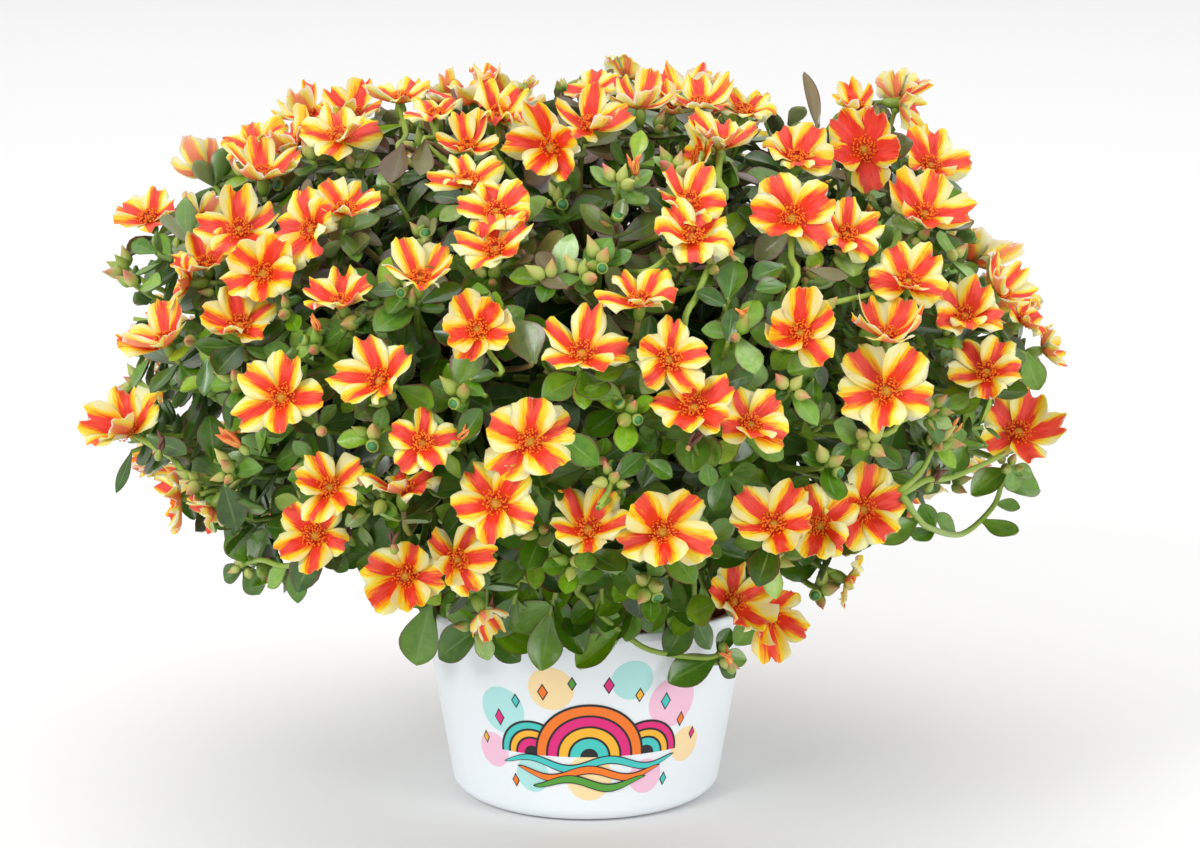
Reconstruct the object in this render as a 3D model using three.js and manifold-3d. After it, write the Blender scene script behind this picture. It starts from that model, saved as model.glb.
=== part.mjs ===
// A flowering portulaca: leafy stems and striped blooms that grow from the soil of a
// terracotta-coloured growing pot, which stands loose in a white cover pot.
//
// Units are millimetres. +Z is up, the front is -Y, and the origin is on the pot's axis,
// on the underside of the cover pot.

import * as THREE from 'three';
import * as BufferGeometryUtils from 'three/addons/utils/BufferGeometryUtils.js';
import Module from 'manifold-3d';

const wasm = await Module();
wasm.setup();

// ---------------------------------------------------------------- driving dimensions

const GAP = 0.3; // between pieces that rest on each other

const COVER_POT = {
  height: 98, rimRadius: 83, baseRadius: 66.5, cornerRadius: 8, wall: 2.4, floor: 3,
  lipHeight: 5, lipOut: 1.4, round: 1, sides: 36,
};
const GROWING_POT = {
  topZ: 121, rimRadius: 75, baseRadius: 55, wall: 1.6, floor: 1.8,
  rimBand: 14, rimStep: 2, holeRadius: 4, holeRing: 34, holes: 5, holeSides: 6, sides: 24,
};
const SOIL = {
  topZ: 113, edgeDrop: 3, rings: [22, 44, 60], bump: 1.2, holeRadius: 5.6, holeSides: 6,
};

// The bush is an ellipsoid through the flower bases. Its core is a smaller, knobbly one.
const BUSH = { x: -5, y: 0, z: 216, across: 228, deep: 206, high: 139 };
const HUB = { spread: 18, lowest: -0.5, scale: 0.56, radius: 44, share: 0.44, flatness: 0.85 };
const FOOT = { radius: 4.5, ring: 56, depth: 26, rise: 8, overlap: 3, sides: 5 };

const BLOOM = { moundRadius: 0.29, moundHeight: 0.27, seat: 2.5, thickness: 1 };
const STALK = { radius: 2.4, sides: 3, bend: 5, sharpest: 0.4, leaves: 3, leafyEvery: 6, tries: 6 };
const LEAF = {
  length: 24, width: 14, thickness: 2.4, deepest: 0.42, sunk: 0.035, curl: 0.8, valley: 3.6,
  wideGap: 150, leanFrom: 50, leanTo: 78, attempts: 9,
};
const CLEAR = { bloom: 1.5, under: 3, over: 9, pot: 2 };

// The front drawing: what it shows lies on lines of sight from one eye, which looks
// down a little at the pot. Places in the drawing are millimetres across from the pot's
// axis and up from its base, at the distance of that axis.
const EYE = { distance: 1600, pitch: 12, across: 7, up: 178 };

// Every bloom of the front, by its flower base: across, up, width as drawn, the side it
// turns to (0 is to the front, 90 to the right), its tilt (90 is straight up), and how
// much further back it stands than the front of the bush.
const FRONT_BLOOMS = [
  [-93, 339, 36, -10, 72, 0], [-117, 332, 34, -20, 62, 20], [-139, 332, 32, -40, 60, 25],
  [-123, 320, 42, 10, 58, 0], [-147, 316, 38, -45, 55, 12], [-162, 301, 43, -10, 72, 0],
  [-165, 315, 37, -20, 70, 25], [-190, 304, 30, -150, 30, 10], [-120, 284, 34, 25, 60, 0],
  [-136, 275, 43, -45, 12, 0], [-173, 274, 41, 0, 52, 5], [-161, 253, 43, -5, 15, 0],
  [-192, 279, 32, 150, 45, 8], [-218, 280, 34, -20, 52, 0], [-210, 218, 41, -45, 55, 0],
  [-190, 257, 33, -10, 55, 5], [-198, 249, 33, -70, 5, 0], [-173, 226, 41, 0, 48, 0],
  [-152, 191, 46, -3, 14, 0], [-102, 199, 45, -30, 20, 0], [-122, 237, 40, -30, 66, 0],
  [-228, 174, 45, -35, 35, 0], [-203, 141, 34, -75, -8, 0], [-187, 136, 26, -70, -45, 0],
  [-128, 146, 40, 0, 22, 5], [-135, 122, 40, -8, 15, 0], [-92, 144, 41, -10, 78, 0],
  [-82, 168, 36, 12, 28, 0], [-83, 249, 40, 15, 62, 0], [-54, 225, 38, -8, 24, 0],
  [-2, 212, 47, 3, 42, 0], [27, 238, 41, 8, 60, 0], [41, 210, 41, 15, 15, 0],
  [54, 185, 46, 5, 42, 0], [-28, 169, 46, 5, 14, 6], [-45, 138, 49, -5, 16, 0],
  [1, 124, 47, 5, 48, 0], [38, 124, 47, 4, 14, 0], [-59, 298, 39, -4, 52, 0],
  [-45, 283, 40, 6, 52, 0], [-45, 264, 42, -4, 50, 0], [-17, 316, 46, -18, 10, 0],
  [2, 326, 38, 25, 52, 8], [4, 343, 31, -20, 55, 20], [21, 351, 31, 140, 60, 25],
  [27, 336, 33, 0, 84, 5], [43, 334, 26, 30, 75, 20], [-75, 331, 33, -25, 70, 0],
  [-44, 331, 38, 5, 66, 0], [-32, 326, 28, 60, 60, 15], [-59, 316, 30, 0, 60, 10],
  [57, 337, 35, -8, 80, 10], [79, 333, 34, 25, 70, 12], [67, 316, 39, 0, 78, 0],
  [58, 311, 36, -70, 10, 12], [105, 310, 35, 0, 50, 0], [139, 315, 41, 0, 14, 0],
  [135, 336, 24, -30, 65, 15], [156, 340, 31, 160, 40, 20], [157, 338, 32, 75, -5, 14],
  [172, 306, 39, 15, 50, 0], [169, 282, 41, 8, 38, 0], [103, 280, 47, -5, 24, 0],
  [130, 272, 35, 12, 42, 0], [51, 288, 41, 8, 50, 0], [53, 270, 42, 4, 58, 0],
  [82, 177, 39, 15, 30, 0], [107, 223, 41, 0, 24, 0], [150, 221, 41, 0, 82, 0],
  [150, 194, 49, 0, 20, 0], [161, 248, 40, 0, 44, 0], [189, 231, 38, 8, 42, 0],
  [200, 203, 39, 3, 44, 0], [216, 173, 43, 5, 44, 0], [207, 243, 33, 55, 45, 0],
  [218, 229, 27, 55, 30, 0], [228, 215, 25, 80, 15, 8], [138, 135, 44, 10, 15, 10],
  [117, 127, 41, 0, 14, 4], [94, 127, 43, -3, 40, 0], [73, 89, 42, 40, 35, -4],
  [88, 84, 43, 12, 8, 10], [130, 100, 27, 80, -25, 0], [-90, 102, 43, -8, 8, 4],
  [-65, 110, 39, 22, 18, 0], [-52, 84, 24, 50, -55, 0],
];

// Bunches of three blooms stand at the back and the sides, which the drawing doesn't show.
const BACK = {
  spread: 54, clear: 56, lowest: 128, foremost: -40, apart: 15.5, splay: 0.45, lift: 0.35,
  diameter: 41,
};

// Short leafy shoots stand all over the bush between the blooms.
const SHOOTS = {
  spread: 112, lowest: -0.7, clear: 27, from: 0.86, to: 0.98, whorl: 5, budLength: 7,
};

// Trailing stems by places in the front drawing, with leaves from their roots to their tips.
// The first ones hang with the bush and the others hang over the pots' rims.
const TRAILS = [
  {
    path: [[150, 150], [160, 141], [172, 126], [188, 123], [203, 136], [208, 150]],
    leaves: [
      [165, 129, 147, 120], [175, 126, 162, 119], [186, 124, 178, 136], [199, 128, 216, 121],
      [208, 152, 193, 144], [209, 160, 215, 144], [208, 151, 221, 150],
    ],
  },
  {
    path: [[-130, 112], [-150, 107], [-162, 110], [-171, 108]],
    leaves: [
      [-171, 108, -182, 100], [-171, 108, -162, 91], [-146, 107, -143, 91],
      [-150, 107, -161, 97], [-171, 110, -180, 122],
    ],
  },
];
const RIM_TRAILS = [
  {
    path: [[0, 90], [17, 75], [32, 65], [57, 61], [66, 62]],
    leaves: [[66, 61, 41, 49], [66, 62, 72, 76], [66, 62, 80, 60], [66, 62, 72, 52]],
  },
  { path: [[-78, 98], [-78, 88]], leaves: [[-78, 88, -86, 57]] },
  { path: [[-50, 98], [-50, 73]], leaves: [[-50, 76, -76, 62], [-52, 72, -34, 59]] },
  { path: [[-14, 98], [-18, 82]], leaves: [[-18, 84, -21, 58], [-14, 88, -4, 65]] },
  { path: [[24, 98], [25, 86]], leaves: [[24, 90, 22, 70], [25, 86, 2, 66]] },
  { path: [[54, 98], [54, 80]], leaves: [[54, 82, 40, 62]] },
];
const TRAIL = { rimReach: 93, rimTop: 132, radius: 2.2, tries: 6, leafDepth: 8 };

// ---------------------------------------------------------------- small helpers

const UP = new THREE.Vector3(0, 0, 1);
const radians = THREE.MathUtils.degToRad;
const vec = (x, y, z) => new THREE.Vector3(x, y, z);

// A repeatable draw between 0 and 1.
function draw(index, channel) {
  const wave = Math.sin(index * 12.9898 + channel * 78.233) * 43758.5453;
  return wave - Math.floor(wave);
}

const drawBetween = (low, high, index, channel) => low + (high - low) * draw(index, channel);

// Directions are given by the side they turn to and their tilt above the horizon.
function direction(side, tilt) {
  const a = radians(side);
  const t = radians(tilt);
  return vec(Math.sin(a) * Math.cos(t), -Math.cos(a) * Math.cos(t), Math.sin(t));
}

// Two unit vectors square to an axis, the first as level as can be.
function sideVectors(axis) {
  const level = Math.abs(axis.z) > 0.99 ? vec(1, 0, 0) : UP.clone().cross(axis).normalize();
  return [level, axis.clone().cross(level).normalize()];
}

function meshGeometry(points, triangles) {
  const geometry = new THREE.BufferGeometry();
  const numbers = points.flatMap((p) => [p.x, p.y, p.z]);
  geometry.setAttribute('position', new THREE.Float32BufferAttribute(numbers, 3));
  geometry.setIndex(triangles.flat());
  return geometry;
}

function toSolid(geometry) {
  const bare = geometry.clone();
  bare.deleteAttribute('normal');
  bare.deleteAttribute('uv');
  const merged = BufferGeometryUtils.mergeVertices(bare, 1e-4);
  const vertProperties = new Float32Array(merged.attributes.position.array);
  const corners = Array.from(merged.index.array);
  const kept = corners.filter((_, i) => {
    const [a, b, c] = corners.slice(i - (i % 3), i - (i % 3) + 3);
    return a !== b && b !== c && c !== a;
  });
  const triVerts = new Uint32Array(kept);
  return new wasm.Manifold(new wasm.Mesh({ numProp: 3, vertProperties, triVerts }));
}

function toGeometry(solid) {
  const mesh = solid.getMesh();
  const geometry = new THREE.BufferGeometry();
  geometry.setAttribute('position', new THREE.Float32BufferAttribute(mesh.vertProperties, 3));
  geometry.setIndex(Array.from(mesh.triVerts));
  return geometry;
}

const joined = (solids) => wasm.Manifold.union(solids);

// A solid without the scraps that joining may leave loose.
function largestPiece(solid) {
  const pieces = solid.decompose();
  return pieces.reduce((best, piece) => (piece.volume() > best.volume() ? piece : best));
}

// ---------------------------------------------------------------- places on the bush

function eyeFrame() {
  const e = radians(EYE.pitch);
  const ahead = vec(0, Math.cos(e), -Math.sin(e));
  const right = vec(1, 0, 0);
  const above = vec(0, Math.sin(e), Math.cos(e));
  const place = right.clone().multiplyScalar(EYE.across)
    .addScaledVector(above, EYE.up)
    .addScaledVector(ahead, -EYE.distance);
  return { ahead, right, above, place };
}

const eye = eyeFrame();

// The point of a scaled bush on the line of sight through a place in the front drawing,
// or where that line passes the bush most closely. It also gives its distance ahead.
function onBush(across, up, scale, further) {
  const target = eye.right.clone().multiplyScalar(across).addScaledVector(eye.above, up);
  const ray = target.sub(eye.place).normalize();
  const centre = vec(BUSH.x, BUSH.y, BUSH.z);
  const radii = vec(BUSH.across, BUSH.deep, BUSH.high).multiplyScalar(scale);
  const o = eye.place.clone().sub(centre).divide(radii);
  const r = ray.clone().divide(radii);
  const a = r.dot(r);
  const b = o.dot(r);
  const inside = b * b - a * (o.dot(o) - 1);
  const reach = (-b - Math.sqrt(Math.max(inside, 0))) / a + further;
  const point = eye.place.clone().addScaledVector(ray, reach);
  return { point, ahead: point.clone().sub(eye.place).dot(eye.ahead) };
}

// The point on the line of sight that is so far from the pot's axis, on its near side.
function roundPots(across, up) {
  const target = eye.right.clone().multiplyScalar(across).addScaledVector(eye.above, up);
  const ray = target.sub(eye.place).normalize();
  const a = ray.x * ray.x + ray.y * ray.y;
  const b = eye.place.x * ray.x + eye.place.y * ray.y;
  const c = eye.place.x ** 2 + eye.place.y ** 2 - TRAIL.rimReach ** 2;
  const reach = (-b - Math.sqrt(Math.max(b * b - a * c, 0))) / a;
  return eye.place.clone().addScaledVector(ray, reach);
}

// A point on a scaled bush, from a unit vector.
function bushPoint(unit, scale) {
  return vec(
    BUSH.x + unit.x * BUSH.across * scale,
    BUSH.y + unit.y * BUSH.deep * scale,
    BUSH.z + unit.z * BUSH.high * scale,
  );
}

// How far out a point stands: 0 at the bush's middle, 1 on its surface.
function bushUnit(point) {
  return vec(
    (point.x - BUSH.x) / BUSH.across,
    (point.y - BUSH.y) / BUSH.deep,
    (point.z - BUSH.z) / BUSH.high,
  );
}

// Evenly spread unit vectors, by the golden angle.
function evenUnit(index, count) {
  const z = 1 - (2 * index + 1) / count;
  const turn = index * Math.PI * (3 - Math.sqrt(5));
  const r = Math.sqrt(1 - z * z);
  return vec(Math.cos(turn) * r, Math.sin(turn) * r, z);
}

// ---------------------------------------------------------------- lofted bodies

// A frame to measure a stalk's, a bloom's or a leaf whorl's corners in.
function makeFrame(origin, axis) {
  const [level, rise] = sideVectors(axis);
  return { origin, axis, level, rise };
}

// The same frame carried to another place and turned there without a twist.
function carryFrame(frame, origin, axis) {
  const turn = new THREE.Quaternion().setFromUnitVectors(frame.axis, axis);
  const level = frame.level.clone().applyQuaternion(turn);
  const rise = frame.rise.clone().applyQuaternion(turn);
  return { origin, axis, level, rise };
}

function outward(frame, angle) {
  const a = radians(angle);
  return frame.level.clone().multiplyScalar(Math.cos(a)).addScaledVector(frame.rise, Math.sin(a));
}

const placeIn = (frame, angle, reach, height) => frame.origin.clone()
  .addScaledVector(outward(frame, angle), reach).addScaledVector(frame.axis, height);

// A ring holds corners in the order of their angles, each from 0 to 360 degrees.
function makeRing(corners) {
  const turned = corners.map(({ angle, point }) => ({ angle: ((angle % 360) + 360) % 360, point }));
  return turned.sort((a, b) => a.angle - b.angle);
}

function stalkRing(frame, radius, height) {
  const corners = [];
  for (let k = 0; k < STALK.sides; k += 1) {
    const angle = (360 * (k + 0.5)) / STALK.sides;
    corners.push({ angle, point: placeIn(frame, angle, radius, height) });
  }
  return makeRing(corners);
}

// Triangles between two rings, matched by their angles.
function between(lower, upper) {
  const triangles = [];
  const wrapped = (ring, i) => ring[i % ring.length].angle + (i >= ring.length ? 360 : 0);
  let i = 0;
  let j = 0;
  while (i < lower.length || j < upper.length) {
    const a = lower[i % lower.length].id;
    const b = upper[j % upper.length].id;
    const lowerFirst = wrapped(lower, i + 1) <= wrapped(upper, j + 1);
    if (i < lower.length && (lowerFirst || j >= upper.length)) {
      triangles.push([a, lower[(i + 1) % lower.length].id, b]);
      i += 1;
    } else {
      triangles.push([a, upper[(j + 1) % upper.length].id, b]);
      j += 1;
    }
  }
  return triangles;
}

// A closed body through rings from its foot to its apex.
function loft(rings, apex) {
  const points = [];
  rings.forEach((ring) => ring.forEach((corner) => {
    corner.id = points.push(corner.point) - 1;
  }));
  const triangles = [];
  const foot = rings[0];
  for (let i = 1; i + 1 < foot.length; i += 1) {
    triangles.push([foot[0].id, foot[i + 1].id, foot[i].id]);
  }
  for (let k = 0; k + 1 < rings.length; k += 1) triangles.push(...between(rings[k], rings[k + 1]));
  const last = rings[rings.length - 1];
  const top = points.push(apex) - 1;
  last.forEach((corner, i) => triangles.push([corner.id, last[(i + 1) % last.length].id, top]));
  return meshGeometry(points, triangles);
}

// ---------------------------------------------------------------- blooms

// One petal's share of the outline: the valley beside it, its two lobes and its notch.
const PETAL_OUTLINE = [
  { turn: -36, reach: 0.73, rise: 0.02 },
  { turn: -18, reach: 0.98, rise: 0.05 },
  { turn: 0, reach: 0.89, rise: -0.02 },
  { turn: 18, reach: 1.0, rise: 0.04 },
];
const PLAIN_OUTLINE = [
  { turn: -36, reach: 0.76, rise: 0.02 },
  { turn: 0, reach: 1.0, rise: 0.04 },
];
const PETALS = 5;

function makeBloom(base, axis, diameter, index, outline) {
  return {
    base, axis, radius: diameter / 2, index, outline,
    cup: drawBetween(0.34, 0.56, index, 1), spin: drawBetween(0, 72, index, 2),
  };
}

function frontBlooms() {
  return FRONT_BLOOMS.map(([across, up, width, side, tilt, further], index) => {
    const { point, ahead } = onBush(across, up, 1, further);
    const diameter = (width * ahead) / EYE.distance;
    return makeBloom(point, direction(side, tilt), diameter, index, PETAL_OUTLINE);
  });
}

// The back and the sides carry bunches of three, where the front's blooms leave room.
function backBlooms(front) {
  const found = [];
  for (let i = 0; i < BACK.spread; i += 1) {
    const unit = evenUnit(i, BACK.spread);
    const middle = bushPoint(unit, 1);
    const crowded = front.some((bloom) => bloom.base.distanceTo(middle) < BACK.clear);
    const wanted = middle.z > BACK.lowest && middle.y > BACK.foremost;
    if (wanted && !crowded) found.push(...bunchRound(middle, unit, i));
  }
  return found;
}

function bunchRound(middle, unit, bunch) {
  const frame = makeFrame(middle, unit);
  const first = 90 * draw(bunch, 3);
  return [0, 120, 240].map((turn, k) => {
    const index = 200 + bunch * 4 + k;
    const shift = outward(frame, first + turn);
    const place = middle.clone().addScaledVector(shift, BACK.apart);
    const base = bushPoint(bushUnit(place).normalize(), drawBetween(0.96, 1.01, index, 4));
    const axis = bushUnit(base).normalize().addScaledVector(shift, BACK.splay)
      .addScaledVector(UP, BACK.lift).normalize();
    const diameter = BACK.diameter * drawBetween(0.9, 1.08, index, 5);
    return makeBloom(base, axis, diameter, index, PLAIN_OUTLINE);
  });
}

const cupHeight = (bloom, reach) => bloom.radius * bloom.cup * (reach / bloom.radius) ** 1.5;

// The wavy rim of a bloom's five lobed petals.
function bloomRim(bloom, frame) {
  const corners = [];
  for (let p = 0; p < PETALS; p += 1) {
    bloom.outline.forEach(({ turn, reach, rise }) => {
      const r = reach * bloom.radius;
      const wave = rise * bloom.radius * (0.6 + 1.2 * draw(bloom.index * 7 + p, 6));
      const angle = bloom.spin + p * 72 + turn;
      corners.push({ angle, point: placeIn(frame, angle, r, cupHeight(bloom, r) + wave) });
    });
  }
  return makeRing(corners);
}

function moundRing(bloom, frame) {
  const reach = BLOOM.moundRadius * bloom.radius;
  const corners = [];
  for (let p = 0; p < PETALS; p += 1) {
    const angle = bloom.spin + p * 72 - 36;
    const height = cupHeight(bloom, reach) + BLOOM.thickness;
    corners.push({ angle, point: placeIn(frame, angle, reach, height) });
  }
  return makeRing(corners);
}

// A flower's head, from its stalk's top to its mound of stamens.
function headRings(bloom, flower) {
  const rings = [stalkRing(flower, STALK.radius, -BLOOM.seat), bloomRim(bloom, flower)];
  return bloom.outline === PETAL_OUTLINE ? [...rings, moundRing(bloom, flower)] : rings;
}

const headApex = (bloom, flower) => placeIn(flower, 0, 0, BLOOM.moundHeight * bloom.radius);

// ---------------------------------------------------------------- leaves

// Half of a leaf's outline, along its length and across its width, as shares of them.
const LEAF_OUTLINE = [[0.62, 0.5], [0.96, 0.25]];

function leafPlace({ root, along, face, size }) {
  const across = face.clone().cross(along).normalize();
  const normal = along.clone().cross(across).normalize();
  return (u, v, w) => root.clone().addScaledVector(along, u * LEAF.length * size)
    .addScaledVector(across, v * LEAF.width * size).addScaledVector(normal, w);
}

// A leaf that leans out from an axis at an angle round it.
function leafAt(frame, angle, lean, size) {
  const out = outward(frame, angle);
  const l = radians(lean);
  const along = frame.axis.clone().multiplyScalar(Math.cos(l)).addScaledVector(out, Math.sin(l));
  const face = frame.axis.clone().multiplyScalar(Math.sin(l)).addScaledVector(out, -Math.cos(l));
  return { root: frame.origin, along, face, size, angle: ((angle % 360) + 360) % 360 };
}

// The rim of a whorl: the outlines of its leaves, with a valley close to the stalk between.
function whorlRing(leaves, frame) {
  const corners = leaves.flatMap((leaf, i) => {
    const place = leafPlace(leaf);
    const spread = (v, u) => (Math.atan2(v * LEAF.width, u * LEAF.length) * 180) / Math.PI;
    const edge = LEAF_OUTLINE.flatMap(([u, v]) => [-v, v].map((side) => (
      { angle: leaf.angle + spread(side, u), point: place(u, side, LEAF.curl) })));
    const next = leaves[(i + 1) % leaves.length].angle + (i + 1 >= leaves.length ? 360 : 0);
    const gap = next - leaf.angle;
    const shares = gap > LEAF.wideGap ? [0.35, 0.65] : [0.5];
    const valleys = shares.map((share) => {
      const angle = leaf.angle + gap * share;
      return { angle, point: placeIn(frame, angle, LEAF.valley, 0) };
    });
    return [...edge, ...valleys];
  });
  return makeRing(corners);
}

// A single thick leaf with a thin rim. It narrows to its root, which is sunk well in.
function leafGeometry(leaf) {
  const place = leafPlace(leaf);
  const side = (sign) => LEAF_OUTLINE.map(([u, v]) => place(u, sign * v, LEAF.curl));
  const rim = [place(-LEAF.sunk, 0, 0), ...side(-1), ...side(1).reverse()];
  const over = place(LEAF.deepest, 0, LEAF.thickness / 2);
  const under = place(LEAF.deepest, 0, -LEAF.thickness / 2);
  const triangles = [];
  rim.forEach((_, i) => {
    const next = (i + 1) % rim.length;
    triangles.push([i, next, rim.length], [next, i, rim.length + 1]);
  });
  return meshGeometry([...rim, over, under], triangles);
}

// ---------------------------------------------------------------- what keeps clear of what

// Whether a point lies in the space that a bloom's petals and stamens take.
function insideBloom(point, bloom) {
  const offset = point.clone().sub(bloom.base);
  const height = offset.dot(bloom.axis);
  const reach = Math.sqrt(Math.max(offset.lengthSq() - height * height, 0));
  if (reach > bloom.radius + CLEAR.bloom) return false;
  const petal = cupHeight(bloom, Math.min(reach, bloom.radius));
  return height > petal - CLEAR.under && height < petal + CLEAR.over;
}

// Whether a point lies in a pot or closer to it than a leaf may hang.
function insidePots(point) {
  const reach = Math.hypot(point.x, point.y);
  const byCover = reach < COVER_POT.rimRadius + CLEAR.pot && point.z < COVER_POT.height + CLEAR.pot;
  const byGrowing = reach < GROWING_POT.rimRadius + CLEAR.pot
    && point.z < GROWING_POT.topZ + CLEAR.pot;
  return byCover || byGrowing;
}

const LEAF_PROBES = [[0.35, 0], [0.62, 0], [0.62, -0.5], [0.62, 0.5], [0.96, 0], [1, -0.25], [1, 0.25]];

function leafIsFree(leaf, blooms) {
  const place = leafPlace(leaf);
  return LEAF_PROBES.every(([u, v]) => {
    const probe = place(u, v, 0);
    return !insidePots(probe) && !blooms.some((bloom) => insideBloom(probe, bloom));
  });
}

// The leaves of a whorl that stand free, at the turn that leaves the most.
function freeLeaves(frame, count, index, blooms) {
  let best = [];
  for (let attempt = 0; attempt < LEAF.attempts && best.length < count; attempt += 1) {
    const first = 360 * draw(index, 11) + (attempt * 360) / count / LEAF.attempts;
    const leaves = [];
    for (let k = 0; k < count; k += 1) {
      const own = index * 8 + k;
      const angle = first + ((k + drawBetween(-0.1, 0.1, own, 17)) * 360) / count;
      const lean = drawBetween(LEAF.leanFrom, LEAF.leanTo, own, 12);
      const leaf = leafAt(frame, angle, lean, drawBetween(0.8, 1.12, own, 16));
      if (leafIsFree(leaf, blooms)) leaves.push(leaf);
    }
    if (leaves.length > best.length) best = leaves;
  }
  return best.sort((a, b) => a.angle - b.angle);
}

// ---------------------------------------------------------------- stalks

// A bloom on its stalk from a hub, with a whorl of leaves on the way if they find room.
function bloomGeometry(bloom, hub, leafCount, blooms) {
  const flower = makeFrame(bloom.base, bloom.axis);
  const rings = headRings(bloom, flower).reverse();
  const straight = bloom.base.clone().sub(hub.centre).normalize();
  let top = flower;
  if (straight.dot(bloom.axis) < STALK.sharpest) {
    const bend = bloom.base.clone().addScaledVector(bloom.axis, -BLOOM.seat - STALK.bend);
    top = carryFrame(flower, bend, straight.clone().add(bloom.axis).normalize());
    rings.push(stalkRing(top, STALK.radius, 0));
  }
  const up = top.origin.clone().sub(hub.centre).normalize();
  const whorl = hub.centre.clone().lerp(top.origin, drawBetween(0.66, 0.82, bloom.index, 13));
  const collar = carryFrame(top, whorl, up);
  const leaves = leafCount > 0 ? freeLeaves(collar, leafCount, 1000 + bloom.index, blooms) : [];
  if (leaves.length > 1) {
    rings.push(stalkRing(collar, STALK.radius, LEAF.thickness / 2));
    rings.push(whorlRing(leaves, collar));
    rings.push(stalkRing(collar, STALK.radius, -LEAF.thickness / 2));
  }
  rings.push(stalkRing(carryFrame(top, hub.centre, up), STALK.radius, 0));
  return loft(rings.reverse(), headApex(bloom, flower));
}

// A shoot from a hub to the whorl of leaves at its tip.
function shootGeometry(shoot, hub, blooms) {
  const up = shoot.tip.clone().sub(hub.centre).normalize();
  const frame = makeFrame(shoot.tip, up);
  const leaves = freeLeaves(frame, SHOOTS.whorl, 3000 + shoot.index, blooms);
  if (leaves.length < 2) return null;
  const foot = carryFrame(frame, hub.centre, up);
  const rings = [
    stalkRing(foot, STALK.radius, 0), stalkRing(frame, STALK.radius, -LEAF.thickness / 2),
    whorlRing(leaves, frame),
  ];
  return loft(rings, placeIn(frame, 0, 0, SHOOTS.budLength));
}

function roundSection(radius, sides) {
  const section = new THREE.Shape();
  for (let i = 0; i < sides; i += 1) {
    const a = (i / sides) * Math.PI * 2;
    const x = Math.cos(a) * radius;
    const y = Math.sin(a) * radius;
    if (i === 0) section.moveTo(x, y); else section.lineTo(x, y);
  }
  section.closePath();
  return section;
}

// A stem of a few sides along a path.
function stem(extrudePath, radius, sides, steps) {
  const options = { steps, extrudePath, bevelEnabled: false };
  return new THREE.ExtrudeGeometry(roundSection(radius, sides), options);
}

// ---------------------------------------------------------------- flowering stems

// The hubs from the nearest to the furthest from a point.
const hubsFrom = (hubs, point) => [...hubs].sort((one, other) => (
  one.centre.distanceTo(point) - other.centre.distanceTo(point)));

// The thick, branching middle of each flowering stem stands inside the bush.
function makeHubs() {
  const hubs = [];
  for (let i = 0; i < HUB.spread; i += 1) {
    const unit = evenUnit(i, HUB.spread);
    const centre = bushPoint(unit, HUB.scale);
    if (unit.z > HUB.lowest) hubs.push({ index: i, unit, centre, solids: [] });
  }
  hubs.forEach((hub) => {
    const apart = hubsFrom(hubs, hub.centre)[1].centre.distanceTo(hub.centre);
    hub.radius = Math.min(HUB.radius, apart * HUB.share);
  });
  return hubs;
}

// Blooms that touch grow from one stem.
function touchingGroups(blooms) {
  let groups = [];
  blooms.forEach((bloom) => {
    const flower = makeFrame(bloom.base, bloom.axis);
    const own = toSolid(loft(headRings(bloom, flower), headApex(bloom, flower)));
    const touches = (other) => {
      const near = other.bloom.base.distanceTo(bloom.base) < other.bloom.radius + bloom.radius + 10;
      return near && !own.intersect(other.own).isEmpty();
    };
    const touching = groups.filter((group) => group.some(touches));
    groups = groups.filter((group) => !touching.includes(group));
    groups.push([{ bloom, own }, ...touching.flat()]);
  });
  return groups.map((group) => group.map(({ bloom }) => bloom)).sort((a, b) => b.length - a.length);
}

const meanOf = (points) => points.reduce((sum, p) => sum.add(p), vec(0, 0, 0))
  .divideScalar(points.length);

// Whether solids stand clear of all that grows from the other hubs.
function standsClear(solids, hub, hubs) {
  return hubs.every((other) => other === hub || other.solids.every((taken) => (
    solids.every((solid) => solid.intersect(taken).isEmpty()))));
}

// Grows solids from the nearest hub that leaves them clear of the other stems.
function growFrom(hubs, point, tries, build) {
  return hubsFrom(hubs, point).slice(0, tries).some((hub) => {
    const solids = build(hub);
    if (solids.length === 0 || !standsClear(solids, hub, hubs)) return false;
    hub.solids.push(...solids);
    return true;
  });
}

function growBlooms(hubs, blooms) {
  touchingGroups(blooms).forEach((group) => {
    const middle = meanOf(group.map((bloom) => bloom.base));
    const build = (leafCount) => (hub) => group.map((bloom) => {
      const leafy = bloom.outline === PETAL_OUTLINE && bloom.index % STALK.leafyEvery === 0;
      return toSolid(bloomGeometry(bloom, hub, leafy ? leafCount : 0, blooms));
    });
    const grown = growFrom(hubs, middle, STALK.tries, build(STALK.leaves))
      || growFrom(hubs, middle, STALK.tries, build(0));
    if (!grown) throw new Error(`no hub has room for the blooms at ${middle.toArray()}`);
  });
}

// Leafy shoots stand between the blooms.
function growShoots(hubs, blooms) {
  for (let i = 0; i < SHOOTS.spread; i += 1) {
    const unit = evenUnit(i, SHOOTS.spread);
    const tip = bushPoint(unit, drawBetween(SHOOTS.from, SHOOTS.to, i, 21));
    const crowded = blooms.some((bloom) => bloom.base.distanceTo(tip) < SHOOTS.clear);
    const build = (hub) => [shootGeometry({ tip, index: i }, hub, blooms)].filter(Boolean).map(toSolid);
    if (!crowded && unit.z > SHOOTS.lowest) growFrom(hubs, tip, 2, build);
  }
}

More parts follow.
